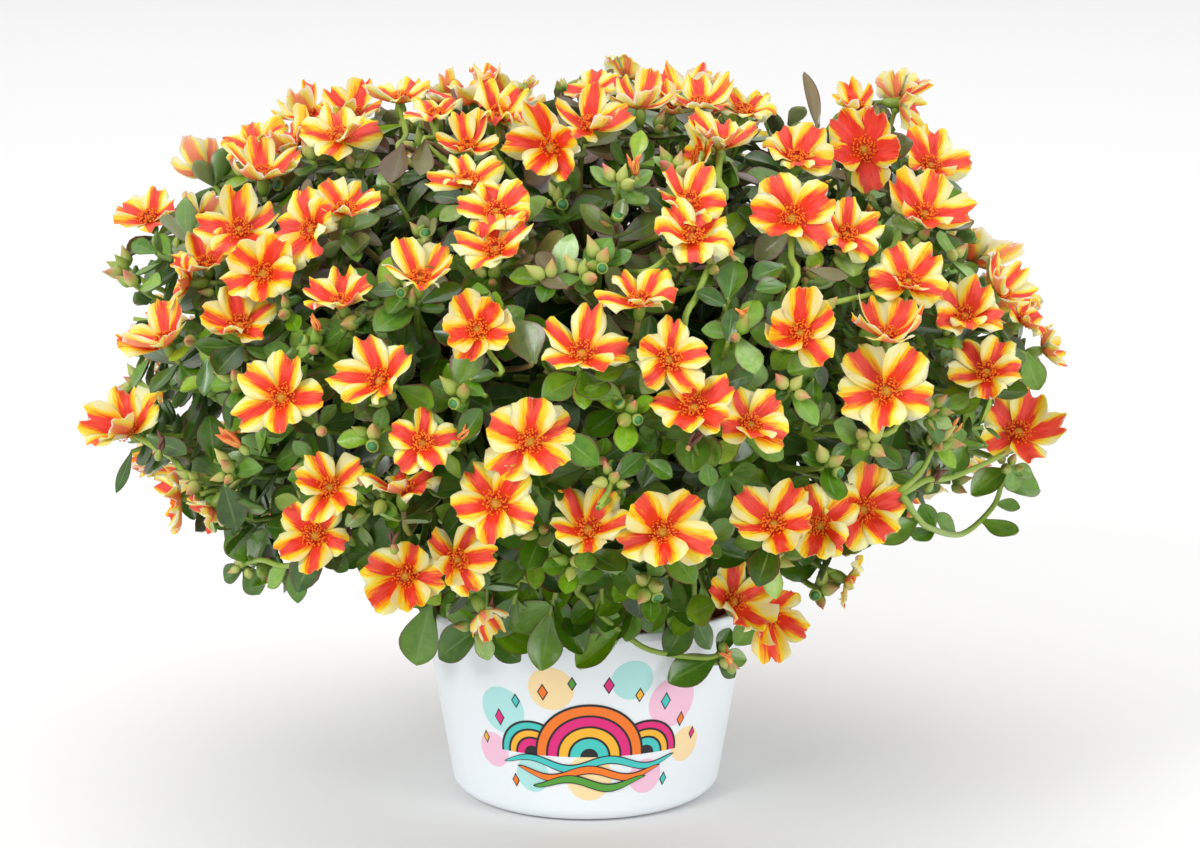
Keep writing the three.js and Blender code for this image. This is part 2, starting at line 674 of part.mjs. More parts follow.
// A knobbly lump, flattened as the bush is.
function hubGeometry(hub) {
  const ball = new THREE.IcosahedronGeometry(hub.radius, 0);
  ball.deleteAttribute('normal').deleteAttribute('uv');
  const lump = BufferGeometryUtils.mergeVertices(ball, 1e-3);
  const position = lump.attributes.position;
  for (let i = 0; i < position.count; i += 1) {
    const stretch = drawBetween(0.8, 1.15, hub.index * 50 + i, 31);
    const corner = vec().fromBufferAttribute(position, i).multiplyScalar(stretch);
    corner.z *= HUB.flatness;
    position.setXYZ(i, ...corner.add(hub.centre).toArray());
  }
  return lump;
}

const footOf = (hub) => vec(hub.unit.x, hub.unit.y, 0).multiplyScalar(FOOT.ring);

// A plain foot for the soil, the main stem above it and the hub.
function growTrunk(hub) {
  const low = footOf(hub).setZ(SOIL.topZ - FOOT.depth);
  const bend = footOf(hub).setZ(SOIL.topZ + FOOT.rise);
  const start = bend.clone().setZ(bend.z - FOOT.overlap);
  hub.solids.push(
    toSolid(stem(new THREE.LineCurve3(low, bend), FOOT.radius, FOOT.sides, 1)),
    toSolid(stem(new THREE.LineCurve3(start, hub.centre), FOOT.radius, FOOT.sides, 1)),
    toSolid(hubGeometry(hub)),
  );
}

const aheadOf = (point) => point.clone().sub(eye.place).dot(eye.ahead);

// The point of a stem's middle line, from corner to corner, that lies nearest to a point.
function onLine(corners, point) {
  const nearest = corners.slice(1).map((end, i) => (
    new THREE.Line3(corners[i], end).closestPointToPoint(point, true, vec(0, 0, 0))));
  return nearest.reduce((best, p) => (p.distanceTo(point) < best.distanceTo(point) ? p : best));
}

// A leaf from its root towards a tip, with its face to the front. The tip keeps its line of
// sight and moves along it until it is little nearer or further than the root.
function leafBetween(root, tip) {
  const gap = THREE.MathUtils.clamp(aheadOf(tip) - aheadOf(root), -TRAIL.leafDepth, TRAIL.leafDepth);
  const level = eye.place.clone().lerp(tip, (aheadOf(root) + gap) / aheadOf(tip));
  const along = level.sub(root);
  const size = along.length() / LEAF.length;
  return { root, along: along.normalize(), face: eye.ahead.clone().negate(), size };
}

// Trailing stems with their leaves, each from a hub.
function growTrail(hubs, { path, leaves }, place, entry) {
  const points = path.map(([across, up]) => place(across, up));
  const first = entry(points[0]);
  const build = (hub) => {
    const curve = new THREE.CatmullRomCurve3([hub.centre, ...first, ...points]);
    const steps = curve.points.length;
    const corners = curve.getSpacedPoints(steps);
    const solids = leaves.map(([across, up, tipAcross, tipUp]) => {
      const root = onLine(corners, place(across, up));
      return toSolid(leafGeometry(leafBetween(root, place(tipAcross, tipUp))));
    });
    return [toSolid(stem(curve, TRAIL.radius, STALK.sides, steps)), ...solids];
  };
  growFrom(hubs, points[0], TRAIL.tries, build);
}

function growTrails(hubs) {
  TRAILS.forEach((trail) => growTrail(hubs, trail, (x, z) => onBush(x, z, 1, 0).point, () => []));
  RIM_TRAILS.forEach((trail) => {
    growTrail(hubs, trail, roundPots, (point) => [point.clone().setZ(TRAIL.rimTop)]);
  });
}

function growStems() {
  const front = frontBlooms();
  const blooms = [...front, ...backBlooms(front)];
  const hubs = makeHubs();
  hubs.forEach(growTrunk);
  growBlooms(hubs, blooms);
  growTrails(hubs);
  growShoots(hubs, blooms);
  return hubs;
}

// ---------------------------------------------------------------- pots and soil

// A solid of revolution from pairs of radius and height, which start and end on the axis.
function revolve(profile, sides, surface = (x, y, z) => z) {
  const points = profile.map(([reach, z]) => new THREE.Vector2(reach, z));
  const lathe = new THREE.LatheGeometry(points, sides).rotateX(Math.PI / 2);
  const position = lathe.attributes.position;
  for (let i = 0; i < position.count; i += 1) {
    const corner = vec().fromBufferAttribute(position, i);
    position.setZ(i, surface(corner.x, corner.y, corner.z));
  }
  return toSolid(lathe);
}

// The cover pot: a straight, widening wall over a rounded corner, with a low lip.
function coverPotSolid() {
  const { height, rimRadius, baseRadius, cornerRadius, wall, floor, round } = COVER_POT;
  const slope = (rimRadius - COVER_POT.lipOut - baseRadius) / (height - cornerRadius);
  const outer = (z) => baseRadius + slope * (z - cornerRadius);
  const corner = [0, 30, 60, 90].map((turn) => [
    baseRadius - cornerRadius + cornerRadius * Math.sin(radians(turn)),
    cornerRadius - cornerRadius * Math.cos(radians(turn)),
  ]);
  const lipZ = height - COVER_POT.lipHeight;
  const lip = [
    [outer(lipZ), lipZ], [rimRadius, lipZ + round], [rimRadius, height - round],
    [rimRadius - round, height], [outer(height) - wall, height],
  ];
  const inside = [[outer(cornerRadius) - wall, cornerRadius], [baseRadius - cornerRadius, floor]];
  return revolve([[0, 0], ...corner, ...lip, ...inside, [0, floor]], COVER_POT.sides);
}

const growingPotZ = COVER_POT.floor + GAP;
const bandZ = GROWING_POT.topZ - GROWING_POT.rimBand;
const soilZ = growingPotZ + GROWING_POT.floor + GAP;

// The inner radius of the growing pot below its rim band.
function innerRadius(z) {
  const { baseRadius, rimRadius, rimStep, wall } = GROWING_POT;
  const share = (z - growingPotZ) / (bandZ - growingPotZ);
  return baseRadius + (rimRadius - rimStep - baseRadius) * share - wall;
}

const growingPotFloorZ = growingPotZ + GROWING_POT.floor;

function roundCutter(radius, sides, x, y, low, high) {
  const cylinder = new THREE.CylinderGeometry(radius, radius, high - low, sides);
  return toSolid(cylinder.rotateX(Math.PI / 2).translate(x, y, (low + high) / 2));
}

function growingPotSolid() {
  const { topZ, rimRadius, baseRadius, rimStep, wall, holes, holeRing } = GROWING_POT;
  const outside = [
    [0, growingPotZ], [baseRadius, growingPotZ], [rimRadius - rimStep, bandZ], [rimRadius, bandZ],
    [rimRadius, topZ],
  ];
  const inside = [
    [rimRadius - wall, topZ], [rimRadius - wall, bandZ + wall], [innerRadius(bandZ), bandZ + wall],
    [innerRadius(growingPotFloorZ), growingPotFloorZ], [0, growingPotFloorZ],
  ];
  const cutters = [];
  for (let i = 0; i < holes; i += 1) {
    const turn = (i / holes) * Math.PI * 2;
    const x = holeRing * Math.cos(turn);
    const y = holeRing * Math.sin(turn);
    const low = growingPotZ - 1;
    const { holeRadius, holeSides } = GROWING_POT;
    cutters.push(roundCutter(holeRadius, holeSides, x, y, low, growingPotFloorZ + 1));
  }
  return revolve([...outside, ...inside], GROWING_POT.sides).subtract(joined(cutters));
}

// The soil fills the growing pot. Its top is uneven, with a plain hole for each stem's foot.
function soilSolid(hubs) {
  const edgeZ = SOIL.topZ - SOIL.edgeDrop;
  const wallTop = innerRadius(bandZ) - GAP;
  const top = [...SOIL.rings].reverse().map((reach) => [reach, SOIL.topZ]);
  const profile = [
    [0, soilZ], [innerRadius(soilZ) - GAP, soilZ], [wallTop, bandZ], [wallTop, edgeZ],
    ...top, [0, SOIL.topZ],
  ];
  const bumpy = revolve(profile, GROWING_POT.sides, (x, y, z) => (
    z > edgeZ + GAP ? z + SOIL.bump * Math.sin(x * 0.17 + 1) * Math.cos(y * 0.21) : z));
  const holes = hubs.map((hub) => {
    const { x, y } = footOf(hub);
    const low = SOIL.topZ - FOOT.depth - GAP;
    return roundCutter(SOIL.holeRadius, SOIL.holeSides, x, y, low, SOIL.topZ + FOOT.rise);
  });
  return bumpy.subtract(joined(holes));
}

// ---------------------------------------------------------------- the assembly

const group = new THREE.Group();
group.name = 'portulaca';

function addNode(name, solid, color, roughness) {
  const mesh = new THREE.Mesh(
    toGeometry(solid),
    new THREE.MeshStandardMaterial({ color, roughness, metalness: 0 }),
  );
  mesh.name = name;
  group.add(mesh);
}

const hubs = growStems();
addNode('cover_pot', coverPotSolid(), 0xe8ecee, 0.35);
addNode('growing_pot', growingPotSolid(), 0xb06a52, 0.6);
addNode('soil', soilSolid(hubs), 0x3a2c22, 0.95);
hubs.forEach((hub, i) => {
  const name = `flowering_stem_${String(i + 1).padStart(2, '0')}`;
  addNode(name, largestPiece(joined(hub.solids).simplify(0.01)), 0x6b8f4a, 0.5);
});

export default group;
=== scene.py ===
"""The looks of a flowering portulaca in its pots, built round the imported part.

Every size is in millimetres until a piece's mesh is made. The layout of blooms, hubs and
trailing stems follows the part's own source: nearly the same tables, with a few more
trailing stems, and the same seeded draws.
"""

import math

import bpy
import numpy as np
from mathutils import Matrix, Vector


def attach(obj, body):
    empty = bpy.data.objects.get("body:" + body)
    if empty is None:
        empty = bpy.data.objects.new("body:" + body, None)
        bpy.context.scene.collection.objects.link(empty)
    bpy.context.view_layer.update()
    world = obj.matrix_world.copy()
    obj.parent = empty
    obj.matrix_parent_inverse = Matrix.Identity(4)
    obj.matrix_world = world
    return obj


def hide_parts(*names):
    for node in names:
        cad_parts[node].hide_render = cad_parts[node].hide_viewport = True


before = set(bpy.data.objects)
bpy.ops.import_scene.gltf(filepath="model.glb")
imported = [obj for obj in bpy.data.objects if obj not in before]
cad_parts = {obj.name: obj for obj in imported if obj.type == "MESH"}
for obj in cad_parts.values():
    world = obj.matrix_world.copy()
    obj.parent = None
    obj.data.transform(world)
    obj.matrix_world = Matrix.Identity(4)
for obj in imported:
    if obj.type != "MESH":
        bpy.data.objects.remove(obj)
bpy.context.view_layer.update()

MM = 0.001
UP = np.array([0.0, 0.0, 1.0])
GOLDEN_ANGLE = 137.5
NEAR_AXIS = 0.001

# ---------------------------------------------------------------- driving sizes

COVER_POT = dict(height=98, rim_radius=83, base_radius=66.5, corner=8, wall=2.4, floor=3,
                 lip_height=5, lip_out=1.4, lip_round=1.1, sides=128)
GROWING_POT = dict(top=121, rim_radius=75, base_radius=55, wall=1.6, floor=1.8, band=14,
                   step=2, base=3.3, sides=96)
SOIL = dict(top=113, radius=69.5, bottom=5.4, foot_radius=52.5, shoulder=106, edge_drop=2.2,
            uneven_from=110, rings=14, sides=60, grains=420, grain_reach=64)
SOIL_BUMPS = ((1.3, 0.31, 0.27), (0.8, 1.1, 0.9))  # heights, and waves across and back
GRAIN_PROFILE = [(0.5, -0.5), (1, 0), (0.5, 0.6)]

BUSH_CENTRE = np.array([-5.0, 0.0, 216.0])
BUSH_RADII = np.array([228.0, 206.0, 139.0])
HUB = dict(spread=18, lowest=-0.5, scale=0.56)
FOOT = dict(ring=56, depth=26, rise=28)
EYE = dict(distance=1600, pitch=12, across=7, up=178)
CLEAR = dict(bloom=1.5, under=3, over=9, pot=2)

# The number that each kind counts its seeded draws from
FIRST = dict(back_blooms=200, trail_buds=300, clusters=400, spent_flowers=500, collars=9000,
             trail_leaves=11000, cluster_leaves=12000, rim_leaves=13000, tall_leaf=14000,
             front_leaves=15000)
# Every seeded draw: its lowest value, its highest, and the channel that it's drawn on
DRAWS = dict(
    bloom_cup=(0.34, 0.56, 1), bloom_spin=(0, 72, 2), bunch_turn=(0, 90, 3),
    back_depth=(0.96, 1.01, 4), back_width=(0.9, 1.08, 5), petal_length=(0.95, 1.08, 41),
    petal_notch=(0.03, 0.17, 42), scallop_phase=(0, 6.3, 43), petal_breadth=(0.93, 1.07, 44),
    petal_cup=(0.78, 1.3, 45), ruffle_phase=(0, 6.3, 46), petal_ruffle=(0.04, 0.13, 47),
    petal_curl=(-0.08, 0.16, 48), petal_folds=(0, 1, 49), petal_fold=(14, 38, 50),
    petal_lift=(-12, 18, 50), petal_place=(-4, 4, 51), petal_stripe=(0.75, 1.25, 52),
    deep_stripe=(1.3, 1.7, 52), bloom_redness=(-0.05, 0.04, 53), petal_look=(0, 1, 54),
    petal_tilt=(-15, 15, 56), petal_swing=(-6, 6, 57), bloom_stripe=(0.66, 1.1, 58),
    bloom_breadth=(0.74, 1.0, 59), bloom_puff=(0.02, 0.11, 60), petal_roll=(-0.16, 0.14, 66),
    bloom_curl=(-0.16, 0.2, 67), petal_skew=(-0.07, 0.07, 68), wave_phase=(0, 6.3, 69),
    stamen_reach=(0.84, 1.12, 61), stamen_turn=(0, 25, 62), stamen_rise=(0.78, 1.14, 63),
    anther_turn=(0, 360, 64), calyx_look=(0, 1, 64), stalk_bronze=(0.0, 0.75, 65),
    stalk_light=(0.3, 1.0, 66), leaf_bend=(-0.26, 0.26, 71), leaf_fold=(-0.08, 0.5, 72),
    leaf_phase=(0, 6, 73), leaf_look=(0, 1, 74), leaf_length=(0.86, 1.12, 75),
    leaf_width=(0.56, 0.68, 76), leaf_bronze=(0, 1, 77), bud_look=(0, 1, 81),
    bud_flush=(0, 1, 82), bud_turn=(0, 70, 83), bud_or_capsule=(0, 1, 84),
    capsule_radius=(2.3, 3.1, 85), bud_length=(0.6, 1.0, 86), shoot_light=(0, 1, 91),
    shoot_lean=(-8, 8, 92), shoot_turn=(0, 360, 93), shoot_leaf_light=(0, 1, 94),
    shoot_has_buds=(0, 1, 95), shoot_buds=(2, 6, 96), shoot_leaf_size=(0.85, 1.12, 102),
    collar_turn=(0, 60, 111), collar_lean=(62, 94, 112), collar_size=(0.66, 1.0, 113),
    collar_light=(0.15, 0.9, 114), collar_has_buds=(0, 1, 115), collar_side=(0, 360, 116),
    collar_buds=(1, 4, 117), cluster_light=(0, 1, 118), bare_stalk_light=(0.9, 1.0, 118),
    cluster_leaf_size=(0.5, 0.85, 119), cluster_leaf_turn=(0, 80, 120),
    cluster_leaf_lean=(60, 90, 112), cluster_leaf_light=(0.2, 0.9, 114),
    front_leaf_light=(0.25, 0.75, 121), trail_leaf_light=(0.35, 0.75, 121),
    leaf_facing=(-0.5, 0.5, 122), grain_turn=(0, 360, 131), grain_spread=(0, 1, 132),
    grain_size=(0.7, 2.2, 133), grain_lean=(0, 360, 134), wisp_turn=(0, 90, 141),
    wisp_bend=(0, 360, 142), wisp_width=(0.1, 0.16, 143), wisp_look=(0, 1, 144),
    spent_lean=(-1, 1, 145), rim_turn=(0, 0.7, 151), rim_height=(-0.3, 0.7, 152),
    rim_reach=(0, 6, 153), rim_aside=(-0.6, 0.6, 154), rim_droop=(0.6, 1.6, 155),
    rim_length=(19, 28, 156), rim_light=(0.2, 0.8, 157))
WOBBLE_CHANNELS = (97, 98, 99)
REACH_CHANNEL = 100

# Every bloom of the front, by its flower base: across, up, width as drawn, the side it
# turns to, its tilt, and how much further back it stands than the front of the bush.
FRONT_BLOOMS = [
    (-93, 339, 36, -10, 72, 0), (-117, 332, 34, -20, 62, 20), (-139, 332, 32, -40, 60, 25),
    (-123, 320, 42, 10, 58, 0), (-147, 316, 38, -45, 55, 12), (-162, 301, 43, -10, 72, 0),
    (-165, 315, 37, -20, 70, 25), (-190, 304, 30, -150, 30, 10), (-120, 284, 34, 25, 60, 0),
    (-136, 275, 43, -45, 12, 0), (-173, 274, 41, 0, 52, 5), (-161, 253, 43, -5, 15, 0),
    (-192, 279, 32, 150, 45, 8), (-218, 280, 34, -20, 52, 0), (-210, 218, 41, -45, 55, 0),
    (-190, 257, 33, -10, 55, 5), (-198, 249, 33, -70, 5, 0), (-173, 226, 41, 0, 48, 0),
    (-152, 191, 46, -3, 14, 0), (-102, 199, 45, -30, 20, 0), (-122, 237, 40, -30, 66, 0),
    (-228, 174, 45, -35, 35, 0), (-203, 141, 34, -75, -8, 0), (-187, 136, 26, -70, -45, 0),
    (-128, 146, 40, 0, 22, 5), (-135, 122, 40, -8, 15, 0), (-92, 144, 41, -10, 78, 0),
    (-82, 168, 36, 12, 28, 0), (-83, 249, 40, 15, 62, 0), (-54, 225, 38, -8, 24, 0),
    (-2, 212, 47, 3, 42, 0), (27, 238, 41, 8, 60, 0), (41, 210, 41, 15, 15, 0),
    (54, 185, 46, 5, 42, 0), (-28, 169, 46, 5, 14, 6), (-45, 138, 49, -5, 16, 0),
    (1, 124, 47, 5, 48, 0), (38, 124, 47, 4, 14, 0), (-59, 298, 39, -4, 52, 0),
    (-45, 283, 40, 6, 52, 0), (-45, 264, 42, -4, 50, 0), (-17, 316, 46, -18, 10, 0),
    (2, 326, 38, 25, 52, 8), (4, 343, 31, -20, 55, 20), (21, 351, 31, 140, 60, 25),
    (27, 336, 33, 0, 84, 5), (43, 334, 26, 30, 75, 20), (-75, 331, 33, -25, 70, 0),
    (-44, 331, 38, 5, 66, 0), (-32, 326, 28, 60, 60, 15), (-59, 316, 30, 0, 60, 10),
    (57, 337, 35, -8, 80, 10), (79, 333, 34, 25, 70, 12), (67, 316, 39, 0, 78, 0),
    (58, 311, 36, -70, 10, 12), (105, 310, 35, 0, 50, 0), (139, 315, 41, 0, 14, 0),
    (135, 336, 24, -30, 65, 15), (156, 340, 31, 160, 40, 20), (157, 338, 32, 75, -5, 14),
    (172, 306, 39, 15, 50, 0), (169, 282, 41, 8, 38, 0), (103, 280, 47, -5, 24, 0),
    (130, 272, 35, 12, 42, 0), (51, 288, 41, 8, 50, 0), (53, 270, 42, 4, 58, 0),
    (82, 177, 39, 15, 30, 0), (107, 223, 41, 0, 24, 0), (150, 221, 41, 0, 82, 0),
    (150, 194, 49, 0, 20, 0), (161, 248, 40, 0, 44, 0), (189, 231, 38, 8, 42, 0),
    (200, 203, 39, 3, 44, 0), (216, 173, 43, 5, 44, 0), (207, 243, 33, 55, 45, 0),
    (218, 229, 27, 55, 30, 0), (228, 215, 25, 80, 15, 8), (138, 135, 44, 10, 15, 10),
    (117, 127, 41, 0, 14, 4), (94, 127, 43, -3, 40, 0), (73, 89, 41, 28, 14, 5),
    (90, 83, 43, 10, 4, -3), (130, 100, 27, 80, -25, 0), (-90, 102, 43, -8, 8, 4),
    (-65, 110, 39, 22, 18, 0), (-52, 84, 24, 50, -55, 0),
]
DEEP_RED_BLOOM = 56  # the bloom with mostly red petals

# Bunches of three at the back and the sides, spread evenly and clear of the front's blooms
BACK = dict(spread=56, clear=54, lowest=128, foremost=-40, apart=15.5, splay=0.45, lift=0.35,
            diameter=41)

# Trailing stems at the bush's sides: paths, across and up, and leaves, root across and up and
# tip across and up.
TRAILS = [
    dict(
        path=[(158, 143), (165, 132), (172, 126), (188, 123), (203, 136), (208, 148), (212, 158)],
        leaves=[
            (165, 129, 147, 120), (175, 126, 162, 119), (186, 124, 176, 133), (178, 124, 168, 137),
            (199, 128, 216, 121), (208, 152, 193, 144), (209, 160, 215, 144),
            (210, 154, 222, 152), (219, 164, 228, 146), (205, 140, 217, 136),
        ],
    ),
    dict(path=[(158, 144), (170, 150), (181, 151), (192, 155), (207, 162), (215, 168)], leaves=[]),
    dict(path=[(157, 145), (168, 155), (174, 167)], leaves=[]),
    dict(
        path=[(-130, 112), (-150, 107), (-162, 110), (-171, 108)],
        leaves=[
            (-171, 108, -182, 100), (-171, 108, -162, 91), (-146, 107, -143, 91),
            (-150, 107, -161, 97), (-171, 110, -180, 122),
        ],
    ),
]
# Trailing stems over the pots' rims, given in the same way
RIM_TRAILS = [
    dict(
        path=[(0, 90), (17, 75), (32, 65), (57, 61), (66, 62)],
        leaves=[(66, 61, 41, 49), (66, 62, 72, 76), (66, 62, 80, 60), (66, 62, 72, 52),
                (18, 74, -4, 56)],
    ),
    dict(path=[(-78, 98), (-78, 88)], leaves=[(-78, 88, -86, 57)]),
    dict(path=[(-50, 98), (-50, 73)], leaves=[
        (-50, 76, -76, 62), (-54, 71, -33, 60), (-50, 78, -26, 67), (-52, 86, -62, 72)]),
    dict(path=[(-14, 98), (-18, 82)], leaves=[
        (-20, 86, -22, 57), (-14, 88, -2, 63), (-22, 92, -38, 76), (-17, 94, -10, 78)]),
    dict(path=[(24, 98), (25, 86)], leaves=[
        (24, 90, 22, 70), (25, 88, 10, 70), (26, 92, 38, 74), (22, 96, 6, 82)]),
    dict(path=[(54, 98), (54, 80)], leaves=[(54, 82, 40, 62), (54, 88, 44, 72), (54, 84, 60, 66)]),
    dict(path=[(-34, 100), (-36, 88)], leaves=[(-36, 92, -44, 72), (-36, 90, -28, 72)]),
    dict(path=[(8, 100), (8, 88)], leaves=[(8, 92, -6, 78), (8, 90, 14, 70)]),
    dict(path=[(40, 100), (40, 88)], leaves=[(40, 92, 30, 74), (40, 90, 50, 74)]),
]
RIM_REACH = 93  # how far from the pots' axis these hang
RIM_TOP = 132  # how high they come over the rim
TRAIL_START = dict(behind=45, above=6)  # where a side's trailing stem comes from
LEAF_DEPTH = 8  # how much nearer or further than its root a placed leaf's tip may be
SKYLINE_DEPTH = 0.93  # how far out on the bush the back's blooms on its skyline stand

# Large leaves that stand out in front: root across and up, tip across and up, width as a
# share of the length, and how bronze.
FRONT_LEAVES = [
    (-26, 208, -33, 230, 0.86, 0.8), (-3, 201, -21, 194, 0.78, 0.2), (21, 208, 5, 199, 0.6, 0.4),
    (15, 191, -2, 194, 0.5, 0.2), (-9, 246, -24, 252, 0.5, 0.9), (-15, 252, -25, 262, 0.8, 1.0),
    (-58, 200, -45, 202, 0.5, 0.1), (71, 240, 75, 259, 0.75, 0.2), (70, 237, 56, 245, 0.65, 0.1),
    (99, 257, 83, 251, 0.65, 0.3), (100, 247, 85, 245, 0.6, 0.6), (71, 218, 73, 235, 0.55, 0.5),
    (87, 211, 83, 196, 0.7, 0.1), (117, 208, 101, 204, 0.8, 0.2), (114, 201, 113, 187, 0.7, 0.1),
    (53, 258, 39, 261, 0.5, 0.6), (110, 256, 130, 250, 0.36, 0.9), (194, 193, 180, 187, 0.6, 0.4),
    (220, 214, 226, 195, 0.65, 0.2), (201, 167, 181, 167, 0.3, 0.5), (190, 167, 183, 154, 0.8, 0.1),
    (-189, 211, -191, 192, 0.5, 0.3), (-186, 159, -187, 181, 0.65, 0.4),
    (-220, 172, -199, 162, 0.45, 0.3), (-198, 148, -197, 131, 0.6, 0.2),
    (-181, 148, -174, 124, 0.6, 0.1), (-227, 165, -234, 144, 0.25, 0.4),
    (-128, 112, -119, 105, 0.8, 0.1), (-14, 174, 6, 158, 0.62, 0.4), (-106, 157, -112, 142, 0.6, 0.2),
    (-104, 178, -108, 196, 0.6, 0.6), (-50, 192, -62, 200, 0.6, 0.1), (-92, 318, -96, 296, 0.6, 0.9),
    (-80, 320, -84, 300, 0.5, 0.9), (-122, 300, -110, 290, 0.7, 0.2), (30, 160, 44, 152, 0.6, 0.1),
    (-24, 150, -12, 141, 0.7, 0.1), (60, 160, 62, 146, 0.7, 0.1), (130, 180, 144, 190, 0.6, 0.2),
]
# Bare stalks that show in front: top across and up, foot across and up, radius.
STALKS = [
    (65, 316, 65, 287, 1.6), (-89, 338, -87, 308, 1.3), (-47, 331, -44, 311, 1.2),
    (-49, 218, -43, 203, 1.1), (39, 265, 28, 254, 1.1), (58, 250, 49, 226, 1.4),
    (104, 256, 102, 244, 1.4), (137, 246, 121, 238, 1.2), (168, 183, 141, 172, 1.2),
    (-222, 169, -188, 150, 1.4), (-76, 333, -76, 314, 1.2), (18, 153, 9, 138, 1.2),
]
# How far leaves keep from a stalk, beside and behind it, and how a stalk's ends are found
STALK = dict(margin=6.4, behind=6, seat=2, slack=4, foot_scale=0.985, foot_share=0.6,
             thicker=1.15, sides=8)

# The leafy outline in front, across and up: no leaf of the bush reaches past it.
LEAFY_OUTLINE = [
    (-244, 180), (-232, 160), (-212, 146), (-196, 128), (-186, 108), (-168, 94), (-150, 92),
    (-130, 92), (-116, 104), (-110, 100), (-96, 84), (-92, 60), (-62, 58), (0, 52), (56, 50),
    (100, 62), (112, 90), (124, 84), (138, 92), (140, 116), (160, 132), (172, 144), (196, 164),
    (212, 166), (232, 172), (233, 200), (238, 214), (230, 232), (218, 254), (198, 268),
    (194, 296), (192, 316), (172, 334), (146, 352), (124, 340), (98, 336), (84, 346),
    (52, 350), (34, 338), (22, 358), (-8, 350), (-22, 334), (-50, 344), (-84, 330),
    (-112, 346), (-150, 340), (-180, 324), (-202, 306), (-202, 292), (-232, 284), (-232, 262),
    (-224, 246), (-232, 222), (-222, 204), (-236, 194),
]
# Seeded leaves over the growing pot's rim, and where their stalks come from
RIM_LEAVES = dict(count=210, reach=80, top=125, spread=24, room=0.6, width=0.62, inwards=24,
                  above=16)
# The leaf that stands up from the top: root across and up, tip across and up
TALL_LEAF = (116, 326, 112, 347)
TALL_LEAF_SIZE = (27, 8)

# Clusters of buds and capsules in front: across, up, how many. The scale says how far out
# on the bush they stand.
CLUSTER_SCALE = 0.99
BUD_CLUSTERS = [
    (-137, 311, 3), (-77, 328, 3), (-230, 256, 4), (-90, 247, 3), (17, 299, 3), (7, 259, 4),
    (45, 306, 4), (-113, 232, 3), (-135, 219, 3), (-135, 177, 5), (-195, 151, 3),
    (-178, 155, 4), (-101, 142, 3), (-66, 168, 3), (22, 184, 4), (13, 150, 4), (-6, 109, 3),
    (33, 97, 5), (77, 224, 2), (92, 112, 4), (118, 95, 5), (176, 171, 5), (-55, 76, 3),
    (-198, 222, 4), (-174, 200, 3), (62, 258, 3), (103, 196, 3), (185, 262, 2), (142, 170, 4),
    (-18, 252, 2), (-62, 192, 3), (-150, 236, 3), (122, 158, 3), (-106, 172, 3),
    (174, 187, 3), (-2, 253, 3), (58, 312, 3), (120, 236, 1), (-190, 285, 2), (-226, 248, 2),
]
# Withered flowers: across, up, length, whether brown and dead
SPENT_FLOWERS = [
    (-33, 316, 11, 0), (-173, 167, 12, 0), (-134, 224, 9, 0), (25, 302, 10, 0), (79, 229, 8, 0),
    (-64, 170, 8, 0), (72, 58, 9, 0), (183, 174, 7, 0), (-204, 272, 9, 1), (-170, 215, 8, 1),
    (-213, 165, 9, 1), (-118, 122, 9, 1), (52, 167, 9, 1), (-96, 118, 7, 1),
    (60, 190, 8, 1), (73, 262, 8, 0), (173, 149, 9, 1),
]

# A petal's form in shares of its length: where it starts, half its breadth at the foot and what
# that gains, its notch's breadth, and how far its shoulders fall back. Scallops and waves have
# a height and a count.
PETAL_FORM = dict(start=0.04, foot=0.09, gain=0.43, notch=0.22, shoulder=0.34,
                  scallops=((0.022, 9), (0.018, 17)), twist=0.05, puff=2.5, ruffle=5.4,
                  wave=(0.03, 12), curl_from=0.6)
PETAL_THICKNESS = 0.45
DEEP_REDNESS = 0.14
# The share of lower petals that stay open, and how far down a petal must point to be one
FOLDING = dict(open=0.66, below=-0.35)
# A stamen's foot, reach and rise in shares of the bloom's radius, and sizes of its parts
STAMEN = dict(foot=0.11, foot_height=0.03, reach=0.32, rise=0.27, fall=0.12, radius=0.34,
              into_anther=0.4, anther_height=0.3, anther_radius=0.5, anther_length=0.62)
# Round bodies: pairs of radius and height, in shares of their size; the calyx's in real sizes
BOSS_PROFILE = [(0.15, -0.01), (0.14, 0.08), (0.07, 0.15)]
CALYX_PROFILE = [(1.3, -9.0), (2.5, -6.5), (2.9, -3.5), (2.2, -0.6)]
CALYX = dict(depth=8, bend=0.42, cup=0.1, cup_height=0.2)
BUD_PROFILE = [(0.35, -0.1), (0.92, 0.1), (1, 0.32), (0.74, 0.58), (0.3, 0.86), (0.05, 1.06)]
BUD_WIDTH = 0.32
CAPSULE_OUTSIDE = [(0.4, -0.9), (0.95, -0.35), (1, 0.25), (0.82, 0.4)]
CAPSULE_INSIDE = [(0.74, 0.4), (0.6, 0.12), (0.3, -0.05)]
CAPSULE_SHARE = 0.14
# A cluster's buds: how far each leans and stands out, and the room that it needs
CLUSTER = dict(first=(0.25, 0.4), others=(0.85, 3.4), room=7, capsule_rise=2.5)
BUD_LENGTH = dict(plain=9.5, placed=11.0)
SPENT_FORM = dict(bud=6.5, bud_below=5, aside=1.1, turns=4, bend=0.35)
WISP_WIDTHS = np.array([0.6, 0.95, 0.8, 1.0, 0.7, 0.15])

# Points of a leaf that need room, in shares of its length and width
LEAF_PROBES = np.array([[0.35, 0], [0.62, -0.5], [0.62, 0.5], [1, -0.25], [1, 0.25], [1, 0]])
